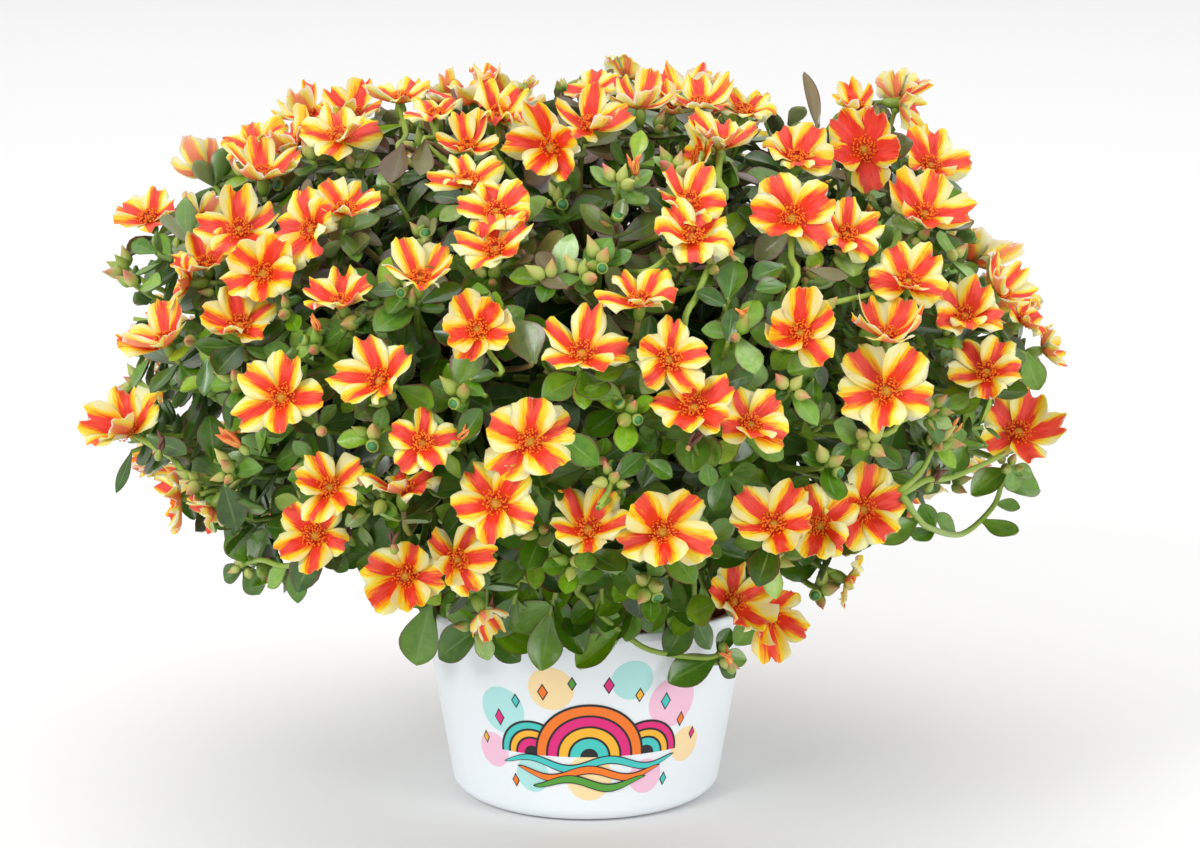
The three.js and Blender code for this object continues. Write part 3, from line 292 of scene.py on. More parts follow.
# A leaf's form: half its breadth at the neck and the tip, its groove's depth and breadth, and
# its thickness in shares of its width, and how much it twists
LEAF_FORM = dict(neck=0.17, tip=0.08, groove=0.1, groove_breadth=0.2, thickness=0.15,
                 thinner=0.45, twist=0.025, turns=5)
LEAF_LENGTH = 24
TRAIL_LEAF_WIDTH = 0.6
# How far out on the bush a placed leaf or spent flower is tried, from the outside in
LEAF_SCALES = (0.99, 0.96, 0.93)
SPENT_SCALES = (1.0, 0.97, 0.94, 0.9)
# Leaves nearer to the bush's middle go into the inner piece, others further back into the
# back's, and others further left into the left one.
LEAF_PIECES = dict(inner=0.7, back=30, left=-10)
# Each kind of stem: radius at the start and at the end of its path, and sides
STEMS = dict(bloom=(1.25, 2.3, 6), shoot=(1.1, 1.9, 5), cluster=(1.3, 2.0, 6), leaf=(1.0, 1.6, 5),
             rim_leaf=(1.6, 1.0, 5), tall_leaf=(1.1, 1.8, 6), trail=(1.9, 1.1, 8),
             main=(4.2, 2.6, 8))

# Leafy shoots in three tiers, from the outside in. A tier's light is painted shade: the inner tiers'
# leaves are painted darker, as if in the bush's shade.
OUTER_SHOOTS = dict(first=5000, count=330, lowest=-0.62, nearest=0.84, furthest=0.975,
                    leaves=8, depth=20, size=1.04, light=1.0, buds=0.42)
INNER_SHOOTS = dict(first=7000, count=170, lowest=-0.66, nearest=0.6, furthest=0.76,
                    leaves=6, depth=24, size=1.15, light=0.3, buds=0.0)
CORE_SHOOTS = dict(first=8000, count=70, lowest=-0.6, nearest=0.34, furthest=0.52,
                   leaves=6, depth=30, size=1.4, light=0.05, buds=0.0)
# A shoot's leaves from foot to tip: how they lean and straighten, shrink, and lighten towards the tip
# as painted shade on the deeper leaves, and how often and how far round a leaf is tried
SHOOT = dict(lean=94, straighten=54, size=1.04, shrink=0.5, dark=0.03, vary=0.62, depth_painted_shade=0.4,
             bend=0.4, tries=3, turn=25)
# Leaves round a bloom's stalk, how far below it, and the share of blooms with buds beside
COLLAR = dict(leaves=5, below=12, buds=0.6, aside=5)
BRONZE_HEIGHT = dict(start=215, span=130)  # where leaves turn bronze towards the top

# Slots of the print's colours
(DARK, TURQUOISE, TANGERINE, MAGENTA, GOLD, LEAF_GREEN, PALE_BLUE, PALE_ROSE, PALE_GOLD) = range(9)
PRINT = dict(centre=2, radius=75, proud=0.06, sunk=0.3, foot=35, line=0.55, hollow=4.5,
             wave_depth=2.3, wave_height=2.4, wave_length=6.5, wave_layer=8)
ARCHES = [  # centre, outer radius, colours from the outside in
    (-29, 17, (TURQUOISE, GOLD, MAGENTA)),
    (29, 17, (MAGENTA, GOLD, TURQUOISE)),
    (0, 27, (TANGERINE, MAGENTA, GOLD, TURQUOISE)),
]
BUBBLES = [  # centre, height, radius, slot
    (-44, 56, 12, PALE_BLUE), (42, 60, 13, PALE_ROSE), (-18, 70, 11, PALE_GOLD),
    (20, 74, 10, PALE_BLUE), (-52, 34, 9, PALE_ROSE), (53, 36, 9, PALE_GOLD),
    (0, 24, 12, PALE_GOLD), (-30, 24, 9, PALE_BLUE), (30, 23, 9, PALE_ROSE),
]
DIAMONDS = [  # centre, height, size, slot
    (-46, 52, 3.6, MAGENTA), (-36, 62, 2.8, TURQUOISE), (-22, 68, 3.4, TANGERINE),
    (-8, 73, 2.6, LEAF_GREEN), (9, 72, 3.4, MAGENTA), (24, 66, 2.8, GOLD),
    (38, 61, 3.6, TURQUOISE), (48, 50, 3.0, TANGERINE), (-56, 40, 2.4, GOLD),
    (57, 41, 2.4, MAGENTA), (-40, 20, 2.6, TANGERINE), (41, 20, 2.6, TURQUOISE),
]
WAVES = [  # height, reach, phase, slot
    (31, 46, 0, TURQUOISE), (26, 38, 1.55, TANGERINE), (21, 30, 3.1, LEAF_GREEN),
]
INKS = [
    ("dark", (34, 30, 34)), ("turquoise", (70, 200, 194)), ("tangerine", (245, 122, 32)),
    ("magenta", (226, 34, 124)), ("gold", (250, 184, 48)), ("leaf_green", (84, 158, 58)),
    ("pale_blue", (178, 230, 228)), ("pale_rose", (246, 196, 220)),
    ("pale_gold", (252, 224, 170)),
]

# The floor and the lights in metres and watts; the lens in millimetres, its limits in metres
FLOOR = dict(radius=6, sides=96, drop=0.0005, colour=(0.84, 0.84, 0.84, 1), roughness=0.8,
             specular=0.1)
LENS = dict(sensor=36, length=96, near=0.1, far=20)
WORLD_LIGHT = 0.62
LIGHTS = dict(
    ceiling=dict(power=220, size=9, place=(0, 2.5, 4), target=(0, 2.5, 0)),
    key=dict(power=26, size=0.8, place=(-1.3, -1.6, 1.3), target=(0, 0, 0.2)),
    fill=dict(power=15, size=0.9, place=(1.6, -1.4, 0.8), target=(0, 0, 0.15)))

# ---------------------------------------------------------------- draws and directions


def draw(index, channel):
    """A repeatable draw between 0 and 1."""
    wave = math.sin(index * 12.9898 + channel * 78.233) * 43758.5453
    return wave - math.floor(wave)


def draw_between(low, high, index, channel):
    return low + (high - low) * draw(index, channel)


def drawn(name, index):
    """A named feature's draw for one bloom, petal, leaf or bud."""
    low, high, channel = DRAWS[name]
    return draw_between(low, high, index, channel)


def unit(vector):
    return vector / np.linalg.norm(vector)


def direction(side, tilt):
    """A unit vector from the side it turns to and its tilt above the horizon."""
    a, t = math.radians(side), math.radians(tilt)
    return np.array([math.sin(a) * math.cos(t), -math.cos(a) * math.cos(t), math.sin(t)])


def side_vectors(axis):
    """Two unit vectors square to an axis, the first as level as can be."""
    level = np.array([1.0, 0, 0]) if abs(axis[2]) > 0.99 else unit(np.cross(UP, axis))
    return level, unit(np.cross(axis, level))


def outward(axis, angle):
    """The direction square to an axis at an angle round it, in degrees."""
    level, rise = side_vectors(axis)
    a = math.radians(angle)
    return level * math.cos(a) + rise * math.sin(a)


# ---------------------------------------------------------------- places on the bush

pitch = math.radians(EYE["pitch"])
AHEAD = np.array([0, math.cos(pitch), -math.sin(pitch)])
RIGHT = np.array([1.0, 0, 0])
ABOVE = np.array([0, math.sin(pitch), math.cos(pitch)])
EYE_PLACE = RIGHT * EYE["across"] + ABOVE * EYE["up"] - AHEAD * EYE["distance"]


def sight(across, up):
    """The unit vector from the eye through a place in the front drawing."""
    return unit(RIGHT * across + ABOVE * up - EYE_PLACE)


def on_bush(across, up, scale=1.0, further=0.0):
    """The point of a scaled bush on a line of sight, or where it passes most closely."""
    ray = sight(across, up)
    o = (EYE_PLACE - BUSH_CENTRE) / (BUSH_RADII * scale)
    r = ray / (BUSH_RADII * scale)
    a, b = r @ r, o @ r
    inside = b * b - a * (o @ o - 1)
    reach = (-b - math.sqrt(max(inside, 0))) / a + further
    return EYE_PLACE + ray * reach


def round_pots(across, up):
    """The point on a line of sight that is so far from the pots' axis, on its near side."""
    ray = sight(across, up)
    a = ray[0] ** 2 + ray[1] ** 2
    b = EYE_PLACE[0] * ray[0] + EYE_PLACE[1] * ray[1]
    c = EYE_PLACE[0] ** 2 + EYE_PLACE[1] ** 2 - RIM_REACH**2
    reach = (-b - math.sqrt(max(b * b - a * c, 0))) / a
    return EYE_PLACE + ray * reach


def drawn_at(point):
    """Where a point lies in the front drawing."""
    ahead = (point - EYE_PLACE) @ AHEAD
    shrink = EYE["distance"] / ahead
    across = EYE["across"] + ((point - EYE_PLACE) @ RIGHT) * shrink
    up = EYE["up"] + ((point - EYE_PLACE) @ ABOVE) * shrink
    return across, up


def inside_outline(point):
    """Whether a point lies inside the leafy outline, by the crossings of a level line."""
    across, up = drawn_at(point)
    inside = False
    for (x1, z1), (x2, z2) in zip(LEAFY_OUTLINE, LEAFY_OUTLINE[1:] + LEAFY_OUTLINE[:1]):
        if (z1 > up) != (z2 > up) and across < x1 + (up - z1) * (x2 - x1) / (z2 - z1):
            inside = not inside
    return inside


def bush_point(direction_out, scale=1.0):
    return BUSH_CENTRE + direction_out * BUSH_RADII * scale


def bush_unit(point):
    return (point - BUSH_CENTRE) / BUSH_RADII


def even_unit(index, count):
    """Evenly spread unit vectors, by the golden angle."""
    z = 1 - (2 * index + 1) / count
    turn = index * math.pi * (3 - math.sqrt(5))
    r = math.sqrt(1 - z * z)
    return np.array([math.cos(turn) * r, math.sin(turn) * r, z])


# ---------------------------------------------------------------- the layout of blooms


def make_bloom(base, axis, diameter, index):
    return dict(base=base, axis=axis, radius=diameter / 2, index=index,
                cup=drawn("bloom_cup", index), spin=drawn("bloom_spin", index))


def front_blooms():
    found = []
    for index, (across, up, width, side, tilt, further) in enumerate(FRONT_BLOOMS):
        point = on_bush(across, up, 1.0, further)
        ahead = (point - EYE_PLACE) @ AHEAD
        diameter = width * ahead / EYE["distance"]
        found.append(make_bloom(point, direction(side, tilt), diameter, index))
    return found


def bunch_round(middle, out, bunch):
    first = drawn("bunch_turn", bunch)
    found = []
    for k in range(3):
        index = FIRST["back_blooms"] + bunch * 4 + k
        shift = outward(out, first + 120 * k)
        place = middle + shift * BACK["apart"]
        facing = unit(bush_unit(place))
        depth = SKYLINE_DEPTH if abs(facing @ AHEAD) < 0.5 else 1.0
        base = bush_point(facing, drawn("back_depth", index) * depth)
        axis = unit(unit(bush_unit(base)) + shift * BACK["splay"] + UP * BACK["lift"])
        diameter = BACK["diameter"] * drawn("back_width", index)
        found.append(make_bloom(base, axis, diameter, index))
    return found


def back_blooms(front):
    found = []
    for i in range(BACK["spread"]):
        out = even_unit(i, BACK["spread"])
        middle = bush_point(out)
        crowded = any(np.linalg.norm(b["base"] - middle) < BACK["clear"] for b in front)
        if middle[2] > BACK["lowest"] and middle[1] > BACK["foremost"] and not crowded:
            found += bunch_round(middle, out, i)
    return found


FRONT = front_blooms()
BLOOMS = FRONT + back_blooms(FRONT)


def stalk_ends(top_across, top_up, foot_across, foot_up):
    """A bare stalk's upper end, in what it carries, and its foot below that."""
    carried = [(np.array(drawn_at(b["base"])), b["base"] - b["axis"] * STALK["seat"])
               for b in FRONT]
    for across, up, _ in BUD_CLUSTERS:
        carried.append((np.array([across, up]), on_bush(across, up, CLUSTER_SCALE)))
    above = [c for c in carried if c[0][1] > top_up - STALK["slack"]]
    drawn_top = np.array([top_across, top_up])
    end = min(above, key=lambda c: np.linalg.norm(c[0] - drawn_top))[1]
    shell = on_bush(foot_across, foot_up, STALK["foot_scale"])
    share = STALK["foot_share"]
    ray = sight(foot_across, foot_up)
    depth = (share * shell + (1 - share) * end - EYE_PLACE) @ AHEAD
    return end, EYE_PLACE + ray * depth / (ray @ AHEAD)


def stalk_line(end, foot):
    """Where a stalk's ends lie in the front drawing, and how far ahead its middle is."""
    ahead = ((end + foot) / 2 - EYE_PLACE) @ AHEAD
    return np.array(drawn_at(end)), np.array(drawn_at(foot)), ahead


STALK_ENDS = [stalk_ends(*stalk[:4]) for stalk in STALKS]
STALK_LINES = [stalk_line(end, foot) for end, foot in STALK_ENDS]

BASES = np.array([b["base"] for b in BLOOMS])
AXES = np.array([b["axis"] for b in BLOOMS])
RADII = np.array([b["radius"] for b in BLOOMS])
CUPS = np.array([b["cup"] for b in BLOOMS])

HUBS = []
for hub_index in range(HUB["spread"]):
    hub_out = even_unit(hub_index, HUB["spread"])
    if hub_out[2] > HUB["lowest"]:
        HUBS.append(dict(out=hub_out, centre=bush_point(hub_out, HUB["scale"])))


def nearest_hub(point):
    return min(HUBS, key=lambda hub: np.linalg.norm(hub["centre"] - point))["centre"]


def inside_blooms(points):
    """Whether any of the points lies in the space of a bloom's petals and stamens."""
    offsets = points[:, None, :] - BASES[None]
    heights = np.einsum("pbi,bi->pb", offsets, AXES)
    square = np.einsum("pbi,pbi->pb", offsets, offsets)
    reach = np.sqrt(np.maximum(square - heights**2, 0))
    petal = RADII * CUPS * (np.minimum(reach, RADII) / RADII) ** 1.5
    near = reach < RADII + CLEAR["bloom"]
    above, below = heights > petal - CLEAR["under"], heights < petal + CLEAR["over"]
    return bool(np.any(near & above & below))


def inside_pots(points):
    reach = np.hypot(points[:, 0], points[:, 1]) - CLEAR["pot"]
    z = points[:, 2] - CLEAR["pot"]
    cover = (reach < COVER_POT["rim_radius"]) & (z < COVER_POT["height"])
    growing = (reach < GROWING_POT["rim_radius"]) & (z < GROWING_POT["top"])
    return bool(np.any(cover | growing))


# ---------------------------------------------------------------- building meshes


PLAIN_SEED = (0.5, 0.5, 0.5)  # for points whose material doesn't vary
MOST_SLOTS = 99  # more than any piece has


class Piece:
    """Gathers the points and faces of one piece of the scene."""

    def __init__(self, name):
        self.name = name
        self.points, self.uvs, self.seeds, self.faces, self.slots = [], [], [], [], []
        self.count = 0

    def add(self, points, faces, uv=None, seed=PLAIN_SEED, slots=None):
        n = len(points)
        self.points.append(np.asarray(points, float))
        self.uvs.append(np.zeros((n, 2)) if uv is None else uv)
        self.seeds.append(np.broadcast_to(np.asarray(seed, float), (n, 3)))
        for k, face_set in enumerate(faces):
            if len(face_set) == 0:
                continue
            self.faces.append(np.asarray(face_set) + self.count)
            slot = 0 if slots is None else slots[k]
            self.slots.append(np.full(len(face_set), slot))
        self.count += n

    def sharpen(self, mesh, sizes):
        """Makes the edges sharp where two materials meet, such as the rim of a blade."""
        edges = np.empty(len(mesh.loops), np.int32)
        mesh.loops.foreach_get("edge_index", edges)
        slots = np.repeat(np.concatenate(self.slots), sizes)
        lowest = np.full(len(mesh.edges), MOST_SLOTS)
        highest = np.full(len(mesh.edges), -1)
        np.minimum.at(lowest, edges, slots)
        np.maximum.at(highest, edges, slots)
        layer = mesh.attributes.new("sharp_edge", "BOOLEAN", "EDGE")
        layer.data.foreach_set("value", lowest != highest)

    def build(self, materials, slot_name, replaced=(), smooth=True):
        points = np.concatenate(self.points) * MM
        uv = np.concatenate(self.uvs)
        seeds = np.concatenate(self.seeds)
        loops = np.concatenate([f.reshape(-1) for f in self.faces])
        sizes = np.concatenate([np.full(len(f), f.shape[1]) for f in self.faces])
        starts = np.concatenate([[0], np.cumsum(sizes)[:-1]])
        mesh = bpy.data.meshes.new(self.name)
        mesh.vertices.add(len(points))
        mesh.vertices.foreach_set("co", points.astype(np.float32).ravel())
        mesh.loops.add(len(loops))
        mesh.loops.foreach_set("vertex_index", loops.astype(np.int32))
        mesh.polygons.add(len(sizes))
        mesh.polygons.foreach_set("loop_start", starts.astype(np.int32))
        mesh.polygons.foreach_set("material_index", np.concatenate(self.slots).astype(np.int32))
        mesh.polygons.foreach_set("use_smooth", np.full(len(sizes), smooth))
        layer = mesh.uv_layers.new(name="UVMap")
        layer.data.foreach_set("uv", uv[loops].astype(np.float32).ravel())
        attribute = mesh.attributes.new("seed", "FLOAT_VECTOR", "POINT")
        attribute.data.foreach_set("vector", seeds.astype(np.float32).ravel())
        mesh.update(calc_edges=True)
        self.sharpen(mesh, sizes)
        mesh.validate()
        for material in materials:
            mesh.materials.append(material)
        piece = bpy.data.objects.new(self.name, mesh)
        bpy.context.scene.collection.objects.link(piece)
        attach(piece, "root")
        if replaced:
            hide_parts(*replaced)


def quads_of(grid):
    """The faces of a grid of point numbers."""
    corners = [grid[:-1, :-1], grid[:-1, 1:], grid[1:, 1:], grid[1:, :-1]]
    return np.stack([c.ravel() for c in corners], axis=1)


def blade_faces(columns, rows):
    """The upper and the lower faces of a thin closed blade whose grids share their rim."""
    upper = np.arange((columns + 1) * (rows + 1)).reshape(rows + 1, columns + 1)
    lower = upper.copy()
    inner = np.arange((columns - 1) * (rows - 1)).reshape(rows - 1, columns - 1)
    lower[1:-1, 1:-1] = inner + upper.size
    return quads_of(upper)[:, ::-1], quads_of(lower)


def blade_points(grid, thickness):
    """A blade's points: the upper grid, then the lower one's inner points, set back."""
    along = np.gradient(grid, axis=0)
    across = np.gradient(grid, axis=1)
    normal = np.cross(along, across)
    normal /= np.maximum(np.linalg.norm(normal, axis=2, keepdims=True), 1e-9)
    lower = (grid - normal * thickness[:, :, None])[1:-1, 1:-1]
    return np.concatenate([grid.reshape(-1, 3), lower.reshape(-1, 3)])


def blade_uv(columns, rows):
    u, v = np.meshgrid(np.linspace(0, 1, columns + 1), np.linspace(0, 1, rows + 1))
    full = np.stack([u, v], axis=2)
    return np.concatenate([full.reshape(-1, 2), full[1:-1, 1:-1].reshape(-1, 2)])


def circle_of(level, rise, sides):
    """The points of a unit circle in the plane of two directions."""
    angles = np.arange(sides) * 2 * math.pi / sides
    return np.outer(np.cos(angles), level) + np.outer(np.sin(angles), rise)


def ring_body(piece, rings, ends, seed, slot):
    """A closed body through rings of points, with a point in the middle of each end."""
    n, sides = len(rings), len(rings[0])
    grid = np.arange(n * sides).reshape(n, sides)
    wrapped = np.concatenate([grid, grid[:, :1]], axis=1)
    first, last = wrapped[0], wrapped[-1]
    foot = np.stack([first[1:], first[:-1], np.full(sides, n * sides)], axis=1)
    tip = np.stack([last[:-1], last[1:], np.full(sides, n * sides + 1)], axis=1)
    v = np.concatenate([np.repeat(np.linspace(0, 1, n), sides), [0, 1]])
    u = np.concatenate([np.tile(np.arange(sides) / sides, n), [0.5, 0.5]])
    piece.add(np.concatenate([*rings, ends]), [quads_of(wrapped), foot, tip],
              np.stack([u, v], axis=1), seed, [slot] * 3)


def tube(piece, path, radii, sides, seed, slot=0):
    """A closed tube along a path, with round, pointed or flat ends by its radii."""
    tangents = np.gradient(path, axis=0)
    tangents /= np.linalg.norm(tangents, axis=1, keepdims=True)
    side, _ = side_vectors(tangents[0])
    rings = []
    for point, tangent, radius in zip(path, tangents, radii):
        side = unit(side - tangent * (side @ tangent))
        rings.append(point + circle_of(side, np.cross(tangent, side), sides) * radius)
    ring_body(piece, rings, path[[0, -1]], seed, slot)


def lathe(piece, origin, axis, profile, sides, seed=PLAIN_SEED, slot=0):
    """A round body along an axis from pairs of radius and height."""
    circle = circle_of(*side_vectors(axis), sides)
    rings = [origin + circle * r + axis * h for r, h in profile]
    ends = [origin + axis * profile[0][1], origin + axis * profile[-1][1]]
    ring_body(piece, rings, ends, seed, slot)


def scaled(profile, radius, height):
    """A profile in real sizes, from shares of a radius and a height."""
    return [(r * radius, h * height) for r, h in profile]


def add_stem(piece, path, kind, seed):
    """A stem whose radius changes evenly along its path."""
    start, end, sides = STEMS[kind]
    tube(piece, path, np.linspace(start, end, len(path)), sides, seed)


def curve_between(start, control, end, count):
    """Points on a curve that leaves one point towards a control point and ends at another."""
    t = np.linspace(0, 1, count)[:, None]
    return start * (1 - t) ** 2 + control * 2 * t * (1 - t) + end * t**2


def smooth_path(points, per_span):
    """A smooth path through points."""
    points = [np.asarray(p, float) for p in points]
    padded = [2 * points[0] - points[1], *points, 2 * points[-1] - points[-2]]
    found = []
    for a, b, c, d in zip(padded, padded[1:], padded[2:], padded[3:]):
        for t in np.arange(per_span) / per_span:
            found.append(0.5 * (2 * b + (c - a) * t + (2 * a - 5 * b + 4 * c - d) * t**2
                                + (3 * b - a - 3 * c + d) * t**3))
    return np.array([*found, points[-1]])


# ---------------------------------------------------------------- materials


def srgb(r, g, b):
    """A linear colour from the eight-bit numbers it is seen with."""
    def linear(value):
        c = value / 255
        return c / 12.92 if c <= 0.04045 else ((c + 0.055) / 1.055) ** 2.4
    return (linear(r), linear(g), linear(b), 1.0)


class Nodes:
    """A short way to write a material's nodes."""

    def __init__(self, name, roughness, specular=0.5):
        self.material = bpy.data.materials.new(name)
        self.material.use_nodes = True
        self.tree = self.material.node_tree
        self.shader = self.tree.nodes["Principled BSDF"]
        self.shader.inputs["Roughness"].default_value = roughness
        self.shader.inputs["Specular IOR Level"].default_value = specular

    def new(self, kind):
        return self.tree.nodes.new(kind)

    def put(self, socket, value):
        if isinstance(value, bpy.types.NodeSocket):
            self.tree.links.new(value, socket)
        else:
            socket.default_value = value

    def math(self, operation, a, b=0.0, clamp=False):
        node = self.new("ShaderNodeMath")
        node.operation = operation
        node.use_clamp = clamp
        self.put(node.inputs[0], a)
        self.put(node.inputs[1], b)
        return node.outputs[0]

    def times(self, a, b):
        return self.math("MULTIPLY", a, b)

    def plus(self, a, b, clamp=False):
        return self.math("ADD", a, b, clamp)

    def minus(self, a, b):
        return self.math("SUBTRACT", a, b)

    def mix(self, share, a, b):
        node = self.new("ShaderNodeMix")
        node.data_type = "RGBA"
        # a Mix node's first socket is its factor; its colours are the seventh and eighth
        self.put(node.inputs[0], share)
        self.put(node.inputs[6], a)
        self.put(node.inputs[7], b)
        return node.outputs[2]

    def ramp(self, value, stops):
        node = self.new("ShaderNodeValToRGB")
        elements = node.color_ramp.elements
        while len(elements) < len(stops):
            elements.new(0.5)
        for element, (place, colour) in zip(elements, stops):
            element.position = place
            element.color = colour
        self.put(node.inputs[0], value)
        return node.outputs[0]

    def steps(self, value, low, high):
        """Rises smoothly from 0 at low to 1 at high, or falls if high is below low."""
        node = self.new("ShaderNodeMapRange")
        node.interpolation_type = "SMOOTHSTEP"
        rising = low < high
        self.put(node.inputs["Value"], value)
        self.put(node.inputs["From Min"], min(low, high))
        self.put(node.inputs["From Max"], max(low, high))
        self.put(node.inputs["To Min"], 0.0 if rising else 1.0)
        self.put(node.inputs["To Max"], 1.0 if rising else 0.0)
        return node.outputs[0]

    def combine(self, x, y, z):
        node = self.new("ShaderNodeCombineXYZ")
        for socket, value in zip(node.inputs, (x, y, z)):
            self.put(socket, value)
        return node.outputs[0]

    def split(self, vector):
        node = self.new("ShaderNodeSeparateXYZ")
        self.put(node.inputs[0], vector)
        return node.outputs

    def noise(self, vector, scale, detail=3.0, rough=0.55):
        node = self.new("ShaderNodeTexNoise")
        self.put(node.inputs["Vector"], vector)
        node.inputs["Scale"].default_value = scale
        node.inputs["Detail"].default_value = detail
        node.inputs["Roughness"].default_value = rough
        return node.outputs["Fac"]

    def bump(self, height, strength, distance):
        node = self.new("ShaderNodeBump")
        node.inputs["Strength"].default_value = strength
        node.inputs["Distance"].default_value = distance
        self.put(node.inputs["Height"], height)
        self.put(self.shader.inputs["Normal"], node.outputs[0])

    def object_noise(self, scale, detail=3.0, rough=0.55):
        place = self.new("ShaderNodeTexCoord").outputs["Object"]
        return self.noise(place, scale, detail, rough)

    def uv(self):
        node = self.new("ShaderNodeUVMap")
        node.uv_map = "UVMap"
        return self.split(node.outputs[0])

    def seed(self):
        node = self.new("ShaderNodeAttribute")
        node.attribute_name = "seed"
        return self.split(node.outputs["Vector"])

    def colour(self, value):
        self.put(self.shader.inputs["Base Color"], value)
        return self.material


RED = srgb(222, 44, 28)
CORAL_AND_PAINTED_SHEEN = srgb(234, 76, 64)
ORANGE_RED = srgb(226, 62, 12)
ORANGE = srgb(243, 122, 24)
DEEP_YELLOW = srgb(245, 176, 20)
YELLOW = srgb(246, 212, 32)
PALE_YELLOW = srgb(238, 222, 104)
CREAM = srgb(230, 230, 172)
PETAL_UNDER = srgb(250, 232, 186)
# The darkest stops of these greens mostly serve the painted shade of leaves deep in the bush.
FRESH_GREENS = [
    (0.05, srgb(10, 28, 0)), (0.3, srgb(30, 66, 0)), (0.55, srgb(72, 120, 0)),
    (0.76, srgb(114, 160, 8)), (1.0, srgb(172, 204, 60))]
# Greens of waxy leaves: partly their real grey-blue bloom, partly a painted whitish sheen at the
# light end.
WAXY_AND_SHEEN_GREENS = [
    (0.05, srgb(10, 28, 0)), (0.3, srgb(32, 66, 6)), (0.55, srgb(72, 116, 24)),
    (0.76, srgb(114, 156, 58)), (1.0, srgb(176, 202, 128))]
MIDRIB = srgb(150, 175, 112)
MARGIN = srgb(104, 48, 50)
BRONZE = srgb(112, 74, 64)
LEAF_BELOW = srgb(140, 165, 112)
# How surfaces shine; a bump is a strength and a height in metres. The leaves' lowest specular belongs
# to the shaded copy for the inner leaves: painted shade.
PETAL_SURFACE = dict(roughness=0.46, specular=0.35, bump=(0.35, 0.0004), tint=(1.0, 0.75, 0.5))
LEAF_SURFACE = dict(roughness=0.34, specular=0.4, painted_shade_specular=0.15, coat_roughness=0.22,
                    bump=(0.45, 0.0012))


def petal_material(name, fade, glow, depth):
    """Red median stripe with a fiery yellow fringe on cream lobes. Fade pales it, and light
    shines through it by its glow and to its depth."""
    n = Nodes(name, PETAL_SURFACE["roughness"], PETAL_SURFACE["specular"])
    u, v, _ = n.uv()
    look, width, redness = n.seed()
    side = n.minus(n.times(u, 2.0), 1.0)
    distance = n.math("ABSOLUTE", side)
    shift = n.times(look, 61.0)

    def streaks(across, along, scale, detail):
        place = n.combine(n.plus(n.times(side, across), shift), n.times(v, along), shift)
        return n.noise(place, scale, detail, 0.62)

    broad = streaks(3.0, 1.1, 1.6, 3.0)
    fine = streaks(15.0, 1.6, 1.4, 3.0)
    veins = streaks(46.0, 1.2, 1.3, 1.0)
    spread = n.plus(n.times(n.minus(broad, 0.5), 0.78), n.times(n.minus(fine, 0.5), 0.5))
    from_tip = n.minus(1.0, v)
    widening = n.times(n.math("POWER", from_tip, 2.4), 1.05)
    half = n.times(n.plus(widening, 0.26), width)
    edge = n.minus(n.plus(distance, spread), half)
    outer = n.ramp(n.plus(edge, 0.1), [
        (0.0, ORANGE_RED), (0.15, ORANGE), (0.25, DEEP_YELLOW), (0.36, YELLOW),
        (0.48, PALE_YELLOW), (0.6, CREAM)])
    by_base = n.times(n.steps(v, 0.52, 0.2), 0.9)
    outer = n.mix(by_base, outer, DEEP_YELLOW)
    by_side = n.times(n.steps(distance, 0.8, 0.98), n.steps(v, 1.0, 0.55))
    outer = n.mix(n.times(by_side, 0.5), outer, YELLOW)
    by_tip = n.times(n.steps(v, 0.8, 1.0), n.steps(broad, 0.5, 0.6))
    outer = n.mix(n.times(by_tip, 0.55), outer, YELLOW)
    # The coral band in the red stripe's upper middle is partly the petal's own coral tone, partly a
    # painted sheen.
    painted_sheen = n.plus(v, n.times(n.minus(broad, 0.5), 1.1))
    inner = n.ramp(painted_sheen, [
        (0.0, ORANGE_RED), (0.28, ORANGE_RED), (0.45, RED), (0.64, CORAL_AND_PAINTED_SHEEN), (0.8, CORAL_AND_PAINTED_SHEEN),
        (1.0, RED)])
    inner = n.mix(n.steps(fine, 0.58, 0.72), inner, ORANGE_RED)
    is_red = n.steps(n.minus(edge, redness), 0.05, -0.05)
    colour = n.mix(is_red, outer, inner)
    colour = n.mix(n.times(n.steps(veins, 0.5, 0.75), 0.14), colour, ORANGE)
    if fade:
        colour = n.mix(fade, colour, PETAL_UNDER)
    n.bump(n.plus(veins, n.times(fine, 1.5)), *PETAL_SURFACE["bump"])
    n.shader.inputs["Subsurface Weight"].default_value = glow
    n.shader.inputs["Subsurface Radius"].default_value = PETAL_SURFACE["tint"]
    n.shader.inputs["Subsurface Scale"].default_value = depth
    return n.colour(colour)


